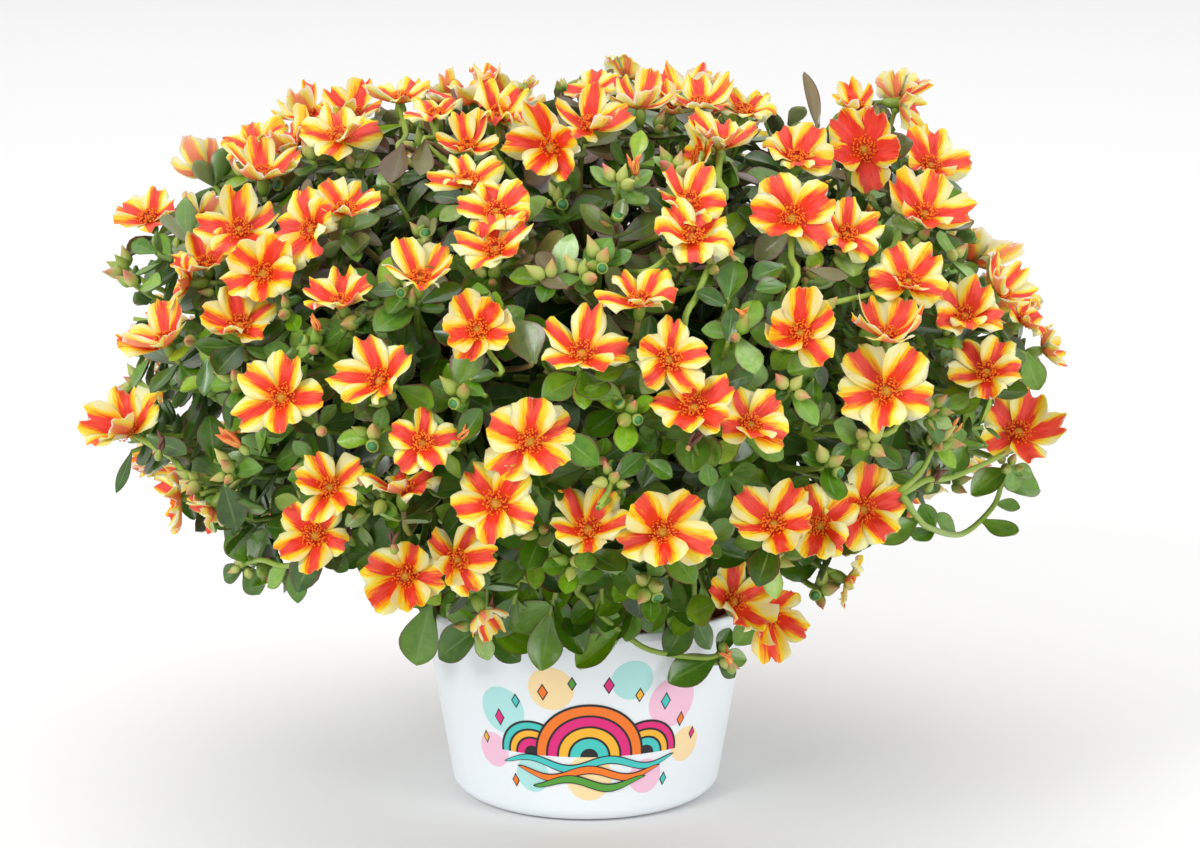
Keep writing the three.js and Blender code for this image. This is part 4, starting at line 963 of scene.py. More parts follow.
def leaf_material(name, under, coat):
    """Fleshy green with a pale midrib and, on some leaves, a thin purple-brown margin."""
    surface = LEAF_SURFACE
    specular = surface["specular"] if coat else surface["painted_shade_specular"]
    n = Nodes(name, surface["roughness"], specular)
    u, v, _ = n.uv()
    look, bronze, light = n.seed()
    side = n.math("ABSOLUTE", n.minus(n.times(u, 2.0), 1.0))
    shift = n.times(look, 47.0)
    place = n.combine(n.plus(n.times(u, 2.0), shift), n.times(v, 3.0), shift)
    mottle = n.noise(place, 1.6, 4.0, 0.6)
    # A leaf's light holds its own random tone and, for leaves deep in the bush, painted shade.
    tone = n.plus(n.times(light, 0.8), n.times(mottle, 0.32))
    fresh, waxy_and_sheen = n.ramp(tone, FRESH_GREENS), n.ramp(tone, WAXY_AND_SHEEN_GREENS)
    green = n.mix(n.steps(look, 0.3, 0.7), fresh, waxy_and_sheen)
    rib = n.times(n.steps(side, 0.10, 0.02), n.steps(v, 1.0, 0.4))
    green = n.mix(n.times(rib, 0.3), green, MIDRIB)
    towards_edge = n.plus(side, n.times(mottle, 0.3))
    strength = n.plus(n.times(bronze, 0.9), 0.3, clamp=True)
    flush = n.times(n.steps(towards_edge, 0.97, 1.1), strength)
    green = n.mix(flush, green, MARGIN)
    over_all = n.steps(bronze, 0.62, 1.0)
    green = n.mix(n.times(over_all, 0.8), green, BRONZE)
    if under:
        green = n.mix(0.38, green, LEAF_BELOW)
    n.shader.inputs["Coat Weight"].default_value = coat
    n.shader.inputs["Coat Roughness"].default_value = surface["coat_roughness"]
    n.bump(mottle, *surface["bump"])
    return n.colour(green)


def plain_material(name, colour, roughness, specular=0.5):
    n = Nodes(name, roughness, specular)
    return n.colour(colour)


def stem_material():
    n = Nodes("stem_green", 0.42)
    _, bronze, light = n.seed()
    mottle = n.object_noise(90.0)
    green = n.mix(light, srgb(84, 116, 32), srgb(148, 174, 66))
    share = n.times(n.plus(bronze, n.times(mottle, 0.5)), 0.8)
    return n.colour(n.mix(n.steps(share, 0.5, 1.0), green, srgb(130, 84, 66)))


def bud_material():
    """Pale green with a pink or orange tip."""
    n = Nodes("bud", 0.38)
    _, v, _ = n.uv()
    look, flush, _ = n.seed()
    mottle = n.object_noise(160.0)
    green = n.mix(look, srgb(118, 154, 48), srgb(184, 190, 104))
    tip = n.plus(v, n.times(n.minus(mottle, 0.5), 0.5))
    share = n.times(n.steps(tip, 0.35, 0.9), flush)
    return n.colour(n.mix(share, green, srgb(204, 104, 92)))


def spent_material():
    """Twisted, withered petals: coral, ochre and straw."""
    n = Nodes("spent_petal", 0.6)
    u, v, _ = n.uv()
    look, _, _ = n.seed()
    streak = n.noise(n.combine(n.times(u, 8.0), v, n.times(look, 31.0)), 2.0)
    return n.colour(n.ramp(streak, [
        (0.3, srgb(206, 52, 34)), (0.48, srgb(226, 104, 54)), (0.6, srgb(240, 196, 92)),
        (0.75, srgb(196, 150, 84))]))


def soil_material():
    n = Nodes("potting_soil", 0.95, 0.1)
    grain = n.object_noise(380.0, 5.0, 0.7)
    return n.colour(n.ramp(grain, [(0.35, srgb(32, 22, 16)), (0.6, srgb(66, 48, 36)),
                                   (0.8, srgb(110, 88, 66))]))


PETAL = petal_material("petal_upper", fade=0.0, glow=0.45, depth=0.0012)
PETAL_BACK = petal_material("petal_under", fade=0.18, glow=0.85, depth=0.0028)
LEAF_UPPER = leaf_material("leaf_upper", under=False, coat=0.55)
LEAF_UNDER = leaf_material("leaf_under", under=True, coat=0.1)
# A shaded copy of the leaf material, without coat and with little shine: painted shade for the leaves
# in the bush's middle.
LEAF_PAINTED_SHADE = leaf_material("leaf_painted_shade", under=False, coat=0.0)
STEM = stem_material()
BUD = bud_material()
SPENT = spent_material()
SOIL_MIX = soil_material()
DEAD = plain_material("dead_petal", srgb(112, 74, 58), 0.8)
CUP_INSIDE = plain_material("capsule_inside", srgb(62, 128, 66), 0.4)
FILAMENT = plain_material("filament", srgb(226, 58, 18), 0.5)
ANTHER = plain_material("anther", srgb(249, 128, 16), 0.6)
BOSS = plain_material("flower_centre", srgb(200, 148, 30), 0.6)
WHITE_PLASTIC = plain_material("white_plastic", srgb(238, 244, 249), 0.32)
TERRACOTTA = plain_material("terracotta_plastic", srgb(212, 128, 98), 0.6)

# ---------------------------------------------------------------- blooms


def petal_pattern(columns, rows, stamens):
    """The faces and places of a petal's grid, and how many stamens go with it."""
    return dict(faces=blade_faces(columns, rows), uv=blade_uv(columns, rows), stamens=stamens,
                u=np.linspace(-1, 1, columns + 1)[None, :],
                v=np.linspace(0, 1, rows + 1)[:, None])


FINE_PETAL = petal_pattern(columns=12, rows=8, stamens=84)
COARSE_PETAL = petal_pattern(columns=10, rows=6, stamens=30)


def petal_fineness(bloom):
    return COARSE_PETAL if bloom["index"] >= FIRST["back_blooms"] else FINE_PETAL


def turned(first, second, degrees):
    """Two coordinates turned in their own plane."""
    a = math.radians(degrees)
    return first * math.cos(a) - second * math.sin(a), first * math.sin(a) + second * math.cos(a)


def petal_rim(u, index):
    """How far out a petal's edge lies across its breadth: notched, scalloped and skew."""
    form = PETAL_FORM
    (coarse, few), (fine, many) = form["scallops"]
    phase = drawn("scallop_phase", index)
    scallop = coarse * np.sin(u * few + phase) + fine * np.sin(u * many + index)
    notch = drawn("petal_notch", index) * np.exp(-((u / form["notch"]) ** 2))
    skew = drawn("petal_skew", index) * u
    return 1 - notch - form["shoulder"] * np.abs(u) ** 3 + skew + scallop


def petal_relief(u, v, distance, bloom, index):
    """How high a petal stands, in shares of its length: cupped, puffed, ruffled and curled."""
    form, own = PETAL_FORM, bloom["index"]
    wave, waves = form["wave"]
    cup = bloom["cup"] * drawn("petal_cup", index) * distance**1.5
    puff = drawn("bloom_puff", own) * np.sin(np.abs(u) * form["puff"]) * v
    roll = drawn("petal_roll", index) * np.abs(u) ** 4 * v
    ruffle = drawn("petal_ruffle", index) * v**2.2
    ruffle = ruffle * np.sin(u * form["ruffle"] + drawn("ruffle_phase", index))
    edge = wave * v**3 * np.sin(u * waves + drawn("wave_phase", index))
    curled = np.clip((v - form["curl_from"]) / (1 - form["curl_from"]), 0, 1) ** 2
    curl = (drawn("bloom_curl", own) + drawn("petal_curl", index)) * curled
    return cup + puff + form["twist"] * u * v + roll + ruffle + edge - curl


def petal_grid(bloom, turn, index):
    """One petal in its flower's frame: out from the middle, across, and up its axis."""
    form = PETAL_FORM
    size = bloom["radius"] * drawn("petal_length", index)
    u, v = petal_fineness(bloom)["u"], petal_fineness(bloom)["v"]
    out = size * (form["start"] + (1 - form["start"]) * v * petal_rim(u, index))
    broad = drawn("bloom_breadth", bloom["index"]) * drawn("petal_breadth", index)
    across = size * (form["foot"] + form["gain"] * np.sin(v * math.pi / 2)) * u * broad
    distance = np.sqrt(out**2 + across**2) / size
    height = size * petal_relief(u, v, distance, bloom, index)
    out, across, height = np.broadcast_arrays(out, across, height)
    across, height = turned(across, height, drawn("petal_tilt", index))
    out, across = turned(out, across, drawn("petal_swing", index))
    out, height = turned(out, height, petal_lift(bloom, turn, index))
    return np.stack([out, across, height], axis=2)


def petal_lift(bloom, turn, index):
    """How far a petal folds up, in degrees. Some of the lower petals fold well up."""
    lower = outward(bloom["axis"], turn)[2] < FOLDING["below"]
    if lower and drawn("petal_folds", index) > FOLDING["open"]:
        return drawn("petal_fold", index)
    return drawn("petal_lift", index)


def flower_matrix(bloom, turn):
    """Rows are the directions out along a petal, across it, and up the flower's axis."""
    out = outward(bloom["axis"], turn)
    return np.stack([out, np.cross(bloom["axis"], out), bloom["axis"]])


def add_petals(piece, bloom):
    """A bloom's five petals. Their seeds hold the look, the stripe's width and its redness."""
    pattern, own = petal_fineness(bloom), bloom["index"]
    thickness = PETAL_THICKNESS * (1.3 - 0.6 * pattern["v"]) * np.ones_like(pattern["u"])
    deep = own == DEEP_RED_BLOOM
    bloom_stripe = 1 if deep else drawn("bloom_stripe", own)
    redness = DEEP_REDNESS if deep else drawn("bloom_redness", own)
    for p in range(5):
        index = own * 7 + p
        turn = bloom["spin"] + 72 * p + drawn("petal_place", index)
        points = blade_points(petal_grid(bloom, turn, index), thickness)
        placed = points @ flower_matrix(bloom, turn) + bloom["base"]
        stripe = drawn("deep_stripe" if deep else "petal_stripe", index) * bloom_stripe
        seed = (drawn("petal_look", index), stripe, redness)
        piece.add(placed, pattern["faces"], pattern["uv"], seed, [0, 1])


GRAIN_FACES = np.array([
    [0, 1, 2], [0, 2, 3], [0, 3, 4], [0, 4, 1], [5, 2, 1], [5, 3, 2], [5, 4, 3], [5, 1, 4]])
SPIKE_FACES = np.array([[0, 1, 3], [1, 2, 3], [2, 0, 3], [0, 2, 1]])


def add_grain(piece, centre, axis, radius, length, slot):
    """A small eight-sided grain, for an anther."""
    level, rise = side_vectors(axis)
    points = np.array([
        centre + axis * length, centre + level * radius, centre + rise * radius,
        centre - level * radius, centre - rise * radius, centre - axis * length])
    piece.add(points, [GRAIN_FACES], slots=[slot])


def add_spike(piece, foot, tip, radius, slot):
    """A thin three-sided spike."""
    level, rise = side_vectors(unit(tip - foot))
    corners = [foot + level * radius, foot + (rise * 0.87 - level * 0.5) * radius,
               foot - (rise * 0.87 + level * 0.5) * radius]
    piece.add([*corners, tip], [SPIKE_FACES], slots=[slot])


def add_stamens(piece, bloom):
    """A broad tuft of filaments with anthers round a low yellow boss."""
    radius, base, axis = bloom["radius"], bloom["base"], bloom["axis"]
    lathe(piece, base, axis, scaled(BOSS_PROFILE, radius, radius), 8, slot=2)
    tuft, stamens = STAMEN, petal_fineness(bloom)["stamens"]
    for k in range(stamens):
        index = bloom["index"] * 50 + k
        spread = math.sqrt(0.1 + 0.9 * (k + 0.5) / stamens)
        out = outward(axis, GOLDEN_ANGLE * k + drawn("stamen_turn", index))
        start = base + out * tuft["foot"] * radius * spread + axis * tuft["foot_height"] * radius
        reach = radius * tuft["reach"] * spread * drawn("stamen_reach", index)
        rise = radius * (tuft["rise"] - tuft["fall"] * spread**2) * drawn("stamen_rise", index)
        end = base + out * reach + axis * rise
        way = unit(end - start)
        add_spike(piece, start, end + way * tuft["into_anther"], tuft["radius"], 0)
        across = outward(way, drawn("anther_turn", index))
        middle = end + way * tuft["anther_height"]
        add_grain(piece, middle, across, tuft["anther_radius"], tuft["anther_length"], 1)


def add_calyx(piece, bloom):
    """The green seat under a bloom, and its stalk to the nearest hub."""
    radius, base, axis = bloom["radius"], bloom["base"], bloom["axis"]
    own = bloom["index"]
    profile = [*CALYX_PROFILE, (CALYX["cup"] * radius, CALYX["cup_height"])]
    lathe(piece, base, axis, profile, 7, (drawn("calyx_look", own), 0.25, 0.6))
    hub = nearest_hub(base)
    foot = base - axis * CALYX["depth"]
    reach = np.linalg.norm(hub - foot)
    path = curve_between(foot, foot - axis * reach * CALYX["bend"], hub, 8)
    seed = (0.5, drawn("stalk_bronze", own), drawn("stalk_light", own))
    add_stem(piece, path, "bloom", seed)


# ---------------------------------------------------------------- leaves


def leaf_pattern(columns, rows):
    """The faces and places of a leaf's grid. Its rows crowd towards the round tip."""
    share = np.linspace(0, 1, rows + 1)
    return dict(faces=blade_faces(columns, rows), uv=blade_uv(columns, rows),
                u=np.linspace(-1, 1, columns + 1)[None, :],
                v=(share + 0.16 * np.sin(share * math.pi))[:, None])


LARGE_LEAF = leaf_pattern(columns=6, rows=11)
FINE_LEAF = leaf_pattern(columns=6, rows=6)
PLAIN_LEAF = leaf_pattern(columns=4, rows=6)
COARSE_LEAF = leaf_pattern(columns=4, rows=4)


def leaf_axes(along, face):
    across = unit(np.cross(face, along))
    return across, unit(np.cross(along, across))


def leaf_probes(root, along, face, length, width):
    across, _ = leaf_axes(along, face)
    probes = root + np.outer(LEAF_PROBES[:, 0] * length, along)
    return probes + np.outer(LEAF_PROBES[:, 1] * width, across)


def leaf_fits(root, along, face, length, width):
    """Whether a leaf stays in the leafy outline and out of the blooms' and the pots' space."""
    probes = leaf_probes(root, along, face, length, width)
    if not (inside_outline(probes[2]) and inside_outline(probes[5])) or hides_stalk(probes):
        return False
    return not inside_blooms(probes) and not inside_pots(probes)


def hides_stalk(points):
    """Whether any of the points would hide a bare stalk in the front drawing."""
    ahead = (points - EYE_PLACE) @ AHEAD
    places = np.array([drawn_at(point) for point in points])
    for top, foot, depth in STALK_LINES:
        along = foot - top
        share = np.clip((places - top) @ along / (along @ along), 0, 1)
        apart = np.linalg.norm(places - top - share[:, None] * along, axis=1)
        if np.any((apart < STALK["margin"]) & (ahead < depth + STALK["behind"])):
            return True
    return False


def leaf_half_width(v):
    """Half a leaf's width along it: a narrow neck, widest past the middle, a round tip."""
    body = np.sin(np.pi * np.clip(v, 0, 1) ** 1.35) ** 0.72
    return np.maximum(body, LEAF_FORM["neck"] * (1 - v) + LEAF_FORM["tip"] * v)


def add_leaf(piece, pattern, root, along, face, length, width, index, bronze, light):
    """A fleshy, spoon-shaped leaf that bends a little along its length."""
    across, normal = leaf_axes(along, face)
    form, u, v = LEAF_FORM, pattern["u"], pattern["v"]
    half = width / 2 * leaf_half_width(v)
    bend = drawn("leaf_bend", index)
    fold = drawn("leaf_fold", index)
    out = length * v * np.ones_like(u)
    side = half * u
    height = length * bend * v**2 + half * fold * np.abs(u) ** 1.6
    height = height - half * form["groove"] * np.exp(-((u / form["groove_breadth"]) ** 2)) * (1 - v)
    twist = np.sin(v * form["turns"] + drawn("leaf_phase", index)) * u
    height = height + length * form["twist"] * twist
    grid = (root + out[..., None] * along + side[..., None] * across
            + height[..., None] * normal)
    thickness = width * form["thickness"] * (1 - form["thinner"] * v) * np.ones_like(u)
    points = blade_points(grid, thickness)
    seed = (drawn("leaf_look", index), bronze, light)
    piece.add(points, pattern["faces"], pattern["uv"], seed, [0, 1])


def leaf_on(plant, origin, axis, angle, lean, size, index, bronze, light):
    """Adds a leaf at an angle round an axis, leaning away from it, if it finds room."""
    out = outward(axis, angle)
    lean = math.radians(lean)
    along = axis * math.cos(lean) + out * math.sin(lean)
    face = axis * math.sin(lean) - out * math.cos(lean)
    length = LEAF_LENGTH * size * drawn("leaf_length", index)
    width = length * drawn("leaf_width", index)
    root = origin + out
    if not leaf_fits(root, along, face, length, width):
        return False
    piece, pattern = plant.leaf_place(root)
    add_leaf(piece, pattern, root, along, face, length, width, index, bronze, light)
    return True


def bronze_at(point, index):
    """Leaves at the top of the bush are more bronze."""
    high = np.clip((point[2] - BRONZE_HEIGHT["start"]) / BRONZE_HEIGHT["span"], 0, 1)
    return float(np.clip(0.2 + 0.55 * high + 0.75 * (drawn("leaf_bronze", index) - 0.45), 0, 1))


# ---------------------------------------------------------------- buds and capsules


def add_bud(piece, origin, axis, length, index):
    """A pointed, egg-shaped bud."""
    profile = scaled(BUD_PROFILE, length * BUD_WIDTH, length)
    seed = (drawn("bud_look", index), drawn("bud_flush", index), 0.5)
    lathe(piece, origin, axis, profile, 8, seed)


def add_capsule(piece, origin, axis, radius):
    """An opened seed capsule: a low green cup with a dark inside."""
    lathe(piece, origin, axis, scaled(CAPSULE_OUTSIDE, radius, radius), 10, (0.2, 0.1, 0.5))
    inside = scaled(CAPSULE_INSIDE, radius, radius)
    lathe(piece, origin + axis * 0.05, axis, inside, 10, slot=1)


def add_cluster(piece, origin, axis, index, count, largest=BUD_LENGTH["plain"]):
    """Buds and capsules crowd at a shoot's tip."""
    for k in range(count):
        own = index * 9 + k
        out = outward(axis, 360 * k / count + drawn("bud_turn", own))
        lean, aside = CLUSTER["others"] if k else CLUSTER["first"]
        way = unit(axis + out * lean)
        place = origin + out * aside
        if inside_blooms((place + way * CLUSTER["room"])[None]):
            continue
        if drawn("bud_or_capsule", own) < CAPSULE_SHARE:
            middle = place + way * CLUSTER["capsule_rise"]
            add_capsule(piece, middle, way, drawn("capsule_radius", own))
        else:
            add_bud(piece, place, way, largest * drawn("bud_length", own), own)


def add_spent_flower(plant, origin, axis, length, index, dead):
    """A twisted wisp of withered petals on a small green bud."""
    form = SPENT_FORM
    add_bud(plant.buds, origin - axis * form["bud_below"], axis, form["bud"], index)
    for k in range(3):
        own = index * 5 + k
        out = outward(axis, 120 * k + drawn("wisp_turn", own))
        bend = outward(axis, drawn("wisp_bend", own))
        t = np.linspace(0, 1, 6)[:, None]
        path = origin + axis * length * t + out * form["aside"] * np.sin(t * form["turns"])
        path = path + bend * length * form["bend"] * t**2
        radii = length * drawn("wisp_width", own) * WISP_WIDTHS
        tube(plant.spent, path, radii, 5, (drawn("wisp_look", own), 0.5, 0.5), slot=dead)


# ---------------------------------------------------------------- shoots


class Plant:
    """The pieces that the plant's blooms, leaves and stems are gathered in."""

    def __init__(self):
        self.blooms_left, self.blooms_right = Piece("blooms_left"), Piece("blooms_right")
        self.blooms_back, self.tufts = Piece("blooms_back"), Piece("stamens")
        self.leaves_left, self.leaves_right = Piece("leaves_left"), Piece("leaves_right")
        self.leaves_back, self.leaves_inner = Piece("leaves_back"), Piece("leaves_inner")
        self.stems, self.buds = Piece("stems"), Piece("buds")
        self.spent = Piece("spent_flowers")

    def bloom_place(self, bloom):
        if bloom["index"] >= FIRST["back_blooms"]:
            return self.blooms_back
        return self.blooms_left if bloom["base"][0] < 0 else self.blooms_right

    def leaf_place(self, root):
        """The piece that a leaf goes into, and its fineness."""
        if np.linalg.norm(bush_unit(root)) < LEAF_PIECES["inner"]:
            return self.leaves_inner, COARSE_LEAF
        if root[1] > LEAF_PIECES["back"]:
            return self.leaves_back, PLAIN_LEAF
        if root[0] < LEAF_PIECES["left"]:
            return self.leaves_left, FINE_LEAF
        return self.leaves_right, FINE_LEAF


def add_shoot(plant, tip, axis, index, tier):
    """A leafy shoot: large outer leaves, smaller inner ones and often a bud cluster."""
    hub = nearest_hub(tip)
    reach = np.linalg.norm(hub - tip)
    path = curve_between(tip, tip - axis * reach * SHOOT["bend"], hub, 7)
    bronze = bronze_at(tip, index)
    add_stem(plant.stems, path, "shoot", (0.5, bronze, drawn("shoot_light", index)))
    count = tier["leaves"]
    placed = 0
    for k in range(count):
        share = k / (count - 1)
        own = index * 12 + k
        origin = tip - axis * (tier["depth"] * (1 - share)) + axis
        lean = SHOOT["lean"] - SHOOT["straighten"] * share + drawn("shoot_lean", own)
        size = tier["size"] * (SHOOT["size"] - SHOOT["shrink"] * share)
        size = size * drawn("shoot_leaf_size", own)
        angle = GOLDEN_ANGLE * k + drawn("shoot_turn", index)
        varied = SHOOT["dark"] + SHOOT["vary"] * drawn("shoot_leaf_light", own)
        # A leaf is painted darker by its tier and by how deep it sits in its shoot: painted shade.
        light = tier["light"] * (varied + SHOOT["depth_painted_shade"] * share)
        for attempt in range(SHOOT["tries"]):
            turn = angle + SHOOT["turn"] * attempt
            if leaf_on(plant, origin, axis, turn, lean, size, own, bronze, light):
                placed += 1
                break
    if placed > 2 and drawn("shoot_has_buds", index) < tier["buds"]:
        count = int(drawn("shoot_buds", index))
        add_cluster(plant.buds, tip + axis * 1.5, axis, index, count)


def add_shoots(plant, tier):
    """A tier of shoots all over the bush, where there is room."""
    for i in range(tier["count"]):
        index = tier["first"] + i
        out = even_unit(i, tier["count"])
        if out[2] < tier["lowest"]:
            continue
        wobble = np.array([draw(index, channel) for channel in WOBBLE_CHANNELS]) - 0.5
        out = unit(out + wobble * 0.09)
        scale = draw_between(tier["nearest"], tier["furthest"], index, REACH_CHANNEL)
        tip = bush_point(out, scale)
        low = max(0.0, -out[2])
        axis = unit(unit(bush_unit(tip)) + UP * (0.3 + 0.9 * low) + wobble * 0.5)
        if not inside_pots(tip[None]) and not inside_blooms(tip[None]):
            add_shoot(plant, tip, axis, index, tier)


def add_bloom_collar(plant, bloom):
    """Leaves and a few buds below a bloom, on its stalk."""
    axis, index = bloom["axis"], FIRST["collars"] + bloom["index"]
    origin = bloom["base"] - axis * COLLAR["below"]
    for k in range(COLLAR["leaves"]):
        own = index * 6 + k
        angle = 72 * k + drawn("collar_turn", own)
        lean = drawn("collar_lean", own)
        size = drawn("collar_size", own)
        light = drawn("collar_light", own)
        leaf_on(plant, origin, axis, angle, lean, size, own, bronze_at(origin, own), light)
    if drawn("collar_has_buds", index) < COLLAR["buds"]:
        aside = outward(axis, drawn("collar_side", index)) * COLLAR["aside"]
        count = int(drawn("collar_buds", index))
        add_cluster(plant.buds, origin + axis + aside, axis, index, count)


def add_front_details(plant):
    """Bud clusters and withered flowers that show between the blooms."""
    for number, (across, up, count) in enumerate(BUD_CLUSTERS):
        place = on_bush(across, up, CLUSTER_SCALE)
        axis = unit(unit(bush_unit(place)) + UP * 0.7 - AHEAD * 0.3)
        index = FIRST["clusters"] + number
        add_cluster(plant.buds, place, axis, index, count, BUD_LENGTH["placed"])
        hub = nearest_hub(place)
        reach = np.linalg.norm(hub - place)
        path = curve_between(place + axis * 2, place - axis * reach * 0.4, hub, 8)
        add_stem(plant.stems, path, "cluster", (0.5, 0.2, drawn("cluster_light", index)))
        for k in range(3):
            own = FIRST["cluster_leaves"] + number * 4 + k
            angle = 120 * k + drawn("cluster_leaf_turn", own)
            lean, size = drawn("cluster_leaf_lean", own), drawn("cluster_leaf_size", own)
            light = drawn("cluster_leaf_light", own)
            leaf_on(plant, place - axis * 3, axis, angle, lean, size, own, 0.2, light)
    for number, (across, up, length, dead) in enumerate(SPENT_FLOWERS):
        for scale in SPENT_SCALES:
            place = on_bush(across, up, scale)
            lean = RIGHT * drawn("spent_lean", number)
            axis = unit(UP + unit(bush_unit(place)) * 0.5 + lean)
            if not inside_blooms(np.array([place, place + axis * length])):
                add_spent_flower(plant, place, axis, length, FIRST["spent_flowers"] + number, dead)
                break


def leaf_tip(place, root, across, up):
    """A leaf's tip on its own line of sight, little nearer or further than its root."""
    own = place(across, up) - EYE_PLACE
    root_ahead = (root - EYE_PLACE) @ AHEAD
    gap = np.clip(own @ AHEAD - root_ahead, -LEAF_DEPTH, LEAF_DEPTH)
    return EYE_PLACE + own * (root_ahead + gap) / (own @ AHEAD)


def add_front_leaves(plant):
    """Large leaves that stand out between the blooms in front."""
    for number, (across, up, tip_across, tip_up, wide, bronze) in enumerate(FRONT_LEAVES):
        index = FIRST["front_leaves"] + number
        for scale in LEAF_SCALES:
            root = on_bush(across, up, scale)
            tip = leaf_tip(on_bush, root, tip_across, tip_up)
            length, along = np.linalg.norm(tip - root), unit(tip - root)
            face = unit(-AHEAD + UP * 0.7 + RIGHT * drawn("leaf_facing", index))
            if not inside_blooms(leaf_probes(root, along, face, length, length * wide)):
                break
        piece, _ = plant.leaf_place(root)
        light = drawn("front_leaf_light", index)
        width = length * wide
        add_leaf(piece, LARGE_LEAF, root, along, face, length, width, index, bronze, light)
        foot = root - along * 3 + AHEAD * 5
        path = curve_between(root + along, foot, foot + (nearest_hub(foot) - foot) * 0.6, 5)
        add_stem(plant.stems, path, "leaf", (0.5, bronze, 0.6))


def add_stalks(plant):
    """Bare yellow-green stalks that show in front, each from its hub to what it carries."""
    for number, (stalk, (end, foot)) in enumerate(zip(STALKS, STALK_ENDS)):
        radius = stalk[4]
        path = smooth_path([end, (end + foot) / 2, foot, nearest_hub(foot)], 4)
        radii = np.linspace(radius, radius * STALK["thicker"], len(path))
        seed = (0.5, 0.05, drawn("bare_stalk_light", number))
        tube(plant.stems, path, radii, STALK["sides"], seed)


def add_rim_leaves(plant):
    """Leaves lean over the rim of the growing pot all round."""
    for k in range(RIM_LEAVES["count"]):
        index = FIRST["rim_leaves"] + k
        out = outward(UP, 360 * (k + drawn("rim_turn", index)) / RIM_LEAVES["count"])
        height = RIM_LEAVES["top"] + RIM_LEAVES["spread"] * drawn("rim_height", index)
        root = out * (RIM_LEAVES["reach"] + drawn("rim_reach", index)) + UP * height
        aside = np.cross(UP, out) * drawn("rim_aside", index)
        along = unit(out * 0.4 + aside - UP * drawn("rim_droop", index))
        face = unit(out + UP * 0.45)
        length = drawn("rim_length", index)
        if leaf_fits(root, along, face, length, length * RIM_LEAVES["room"]):
            piece, pattern = plant.leaf_place(root)
            width, light = length * RIM_LEAVES["width"], drawn("rim_light", index)
            add_leaf(piece, pattern, root, along, face, length, width, index, 0.2, light)
            inner = out * (RIM_LEAVES["reach"] - RIM_LEAVES["inwards"])
            inner = inner + UP * (height + RIM_LEAVES["above"])
            path = curve_between(inner, root - along * 5 + UP * 8, root + along, 5)
            add_stem(plant.stems, path, "rim_leaf", (0.5, 0.2, 0.5))


def add_tall_leaf(plant):
    """A bronze leaf that stands up from the top of the bush."""
    across, up, tip_across, tip_up = TALL_LEAF
    root, tip = on_bush(across, up, 1.0), on_bush(tip_across, tip_up, 1.0)
    along = unit(RIGHT * (tip_across - across) + ABOVE * (tip_up - up))
    face = unit(RIGHT * 0.5 - AHEAD)
    add_leaf(plant.leaves_right, LARGE_LEAF, root, along, face, *TALL_LEAF_SIZE,
             FIRST["tall_leaf"], 1, 1)
    path = curve_between(root + along * 2, root - along * 20, nearest_hub(tip), 6)
    add_stem(plant.stems, path, "tall_leaf", (0.5, 0.8, 0.4))


def trail_start(points, place):
    """Where a trailing stem comes from, before the stretch that shows."""
    hub = nearest_hub(points[0])
    if place is round_pots:
        return [hub, np.array([*points[0][:2], RIM_TOP])]
    start = points[0] + AHEAD * TRAIL_START["behind"] + UP * TRAIL_START["above"]
    return [hub, start]


def add_trails(plant):
    """Trailing stems hang with the bush and over the pots' rims."""
    every = [(trail, on_bush) for trail in TRAILS] + [(trail, round_pots) for trail in RIM_TRAILS]
    for number, (trail, place) in enumerate(every):
        points = [place(across, up) for across, up in trail["path"]]
        path = smooth_path([*trail_start(points, place), *points], 5)
        add_stem(plant.stems, path, "trail", (0.5, 0.3, 0.75))
        for k, (across, up, tip_across, tip_up) in enumerate(trail["leaves"]):
            root = min(path, key=lambda p: np.linalg.norm(p - place(across, up)))
            tip = leaf_tip(place, root, tip_across, tip_up)
            length = np.linalg.norm(tip - root)
            own = FIRST["trail_leaves"] + number * 20 + k
            face = unit(-AHEAD + UP * 0.5 + RIGHT * drawn("leaf_facing", own))
            piece, _ = plant.leaf_place(root)
            light = drawn("trail_leaf_light", own)
            add_leaf(piece, LARGE_LEAF, root, unit(tip - root), face, length,
                     length * TRAIL_LEAF_WIDTH, own, 0.2, light)
        if place is on_bush or number == len(TRAILS):
            way = unit(points[-1] - points[-2])
            add_cluster(plant.buds, points[-1], way, FIRST["trail_buds"] + number, 4)


# ---------------------------------------------------------------- pots and soil


def arc(centre, radius, start, end, count):
    """Points on an arc in a profile, as pairs of radius and height."""
    turns = np.radians(np.linspace(start, end, count))
    return [(centre[0] + radius * math.cos(t), centre[1] + radius * math.sin(t)) for t in turns]


def cover_radius(height):
    """The cover pot's outer radius at a height on its sloping wall."""
    pot = COVER_POT
    widening = pot["rim_radius"] - pot["lip_out"] - pot["base_radius"]
    slope = widening / (pot["height"] - pot["corner"])
    return pot["base_radius"] + slope * (height - pot["corner"])


def cover_pot_profile():
    pot = COVER_POT
    lip = pot["height"] - pot["lip_height"]
    corner = arc((pot["base_radius"] - pot["corner"], pot["corner"]), pot["corner"], -90, 0, 8)
    rim = pot["rim_radius"]
    inside = rim - pot["wall"] - pot["lip_out"]
    edge = pot["lip_round"]
    top = arc((rim - edge, pot["height"] - edge), edge, 0, 90, 5)
    wall = [(cover_radius(z), z) for z in (30, 60, lip - 0.8)]
    return [(NEAR_AXIS, 0), *corner, *wall, (rim - 0.5, lip + 0.1), (rim, lip + 1.0), *top,
            (inside + 0.8, pot["height"]), (inside, pot["height"] - 0.9),
            (pot["base_radius"] - pot["wall"], pot["corner"]),
            (pot["base_radius"] - pot["corner"], pot["floor"]), (NEAR_AXIS, pot["floor"])]


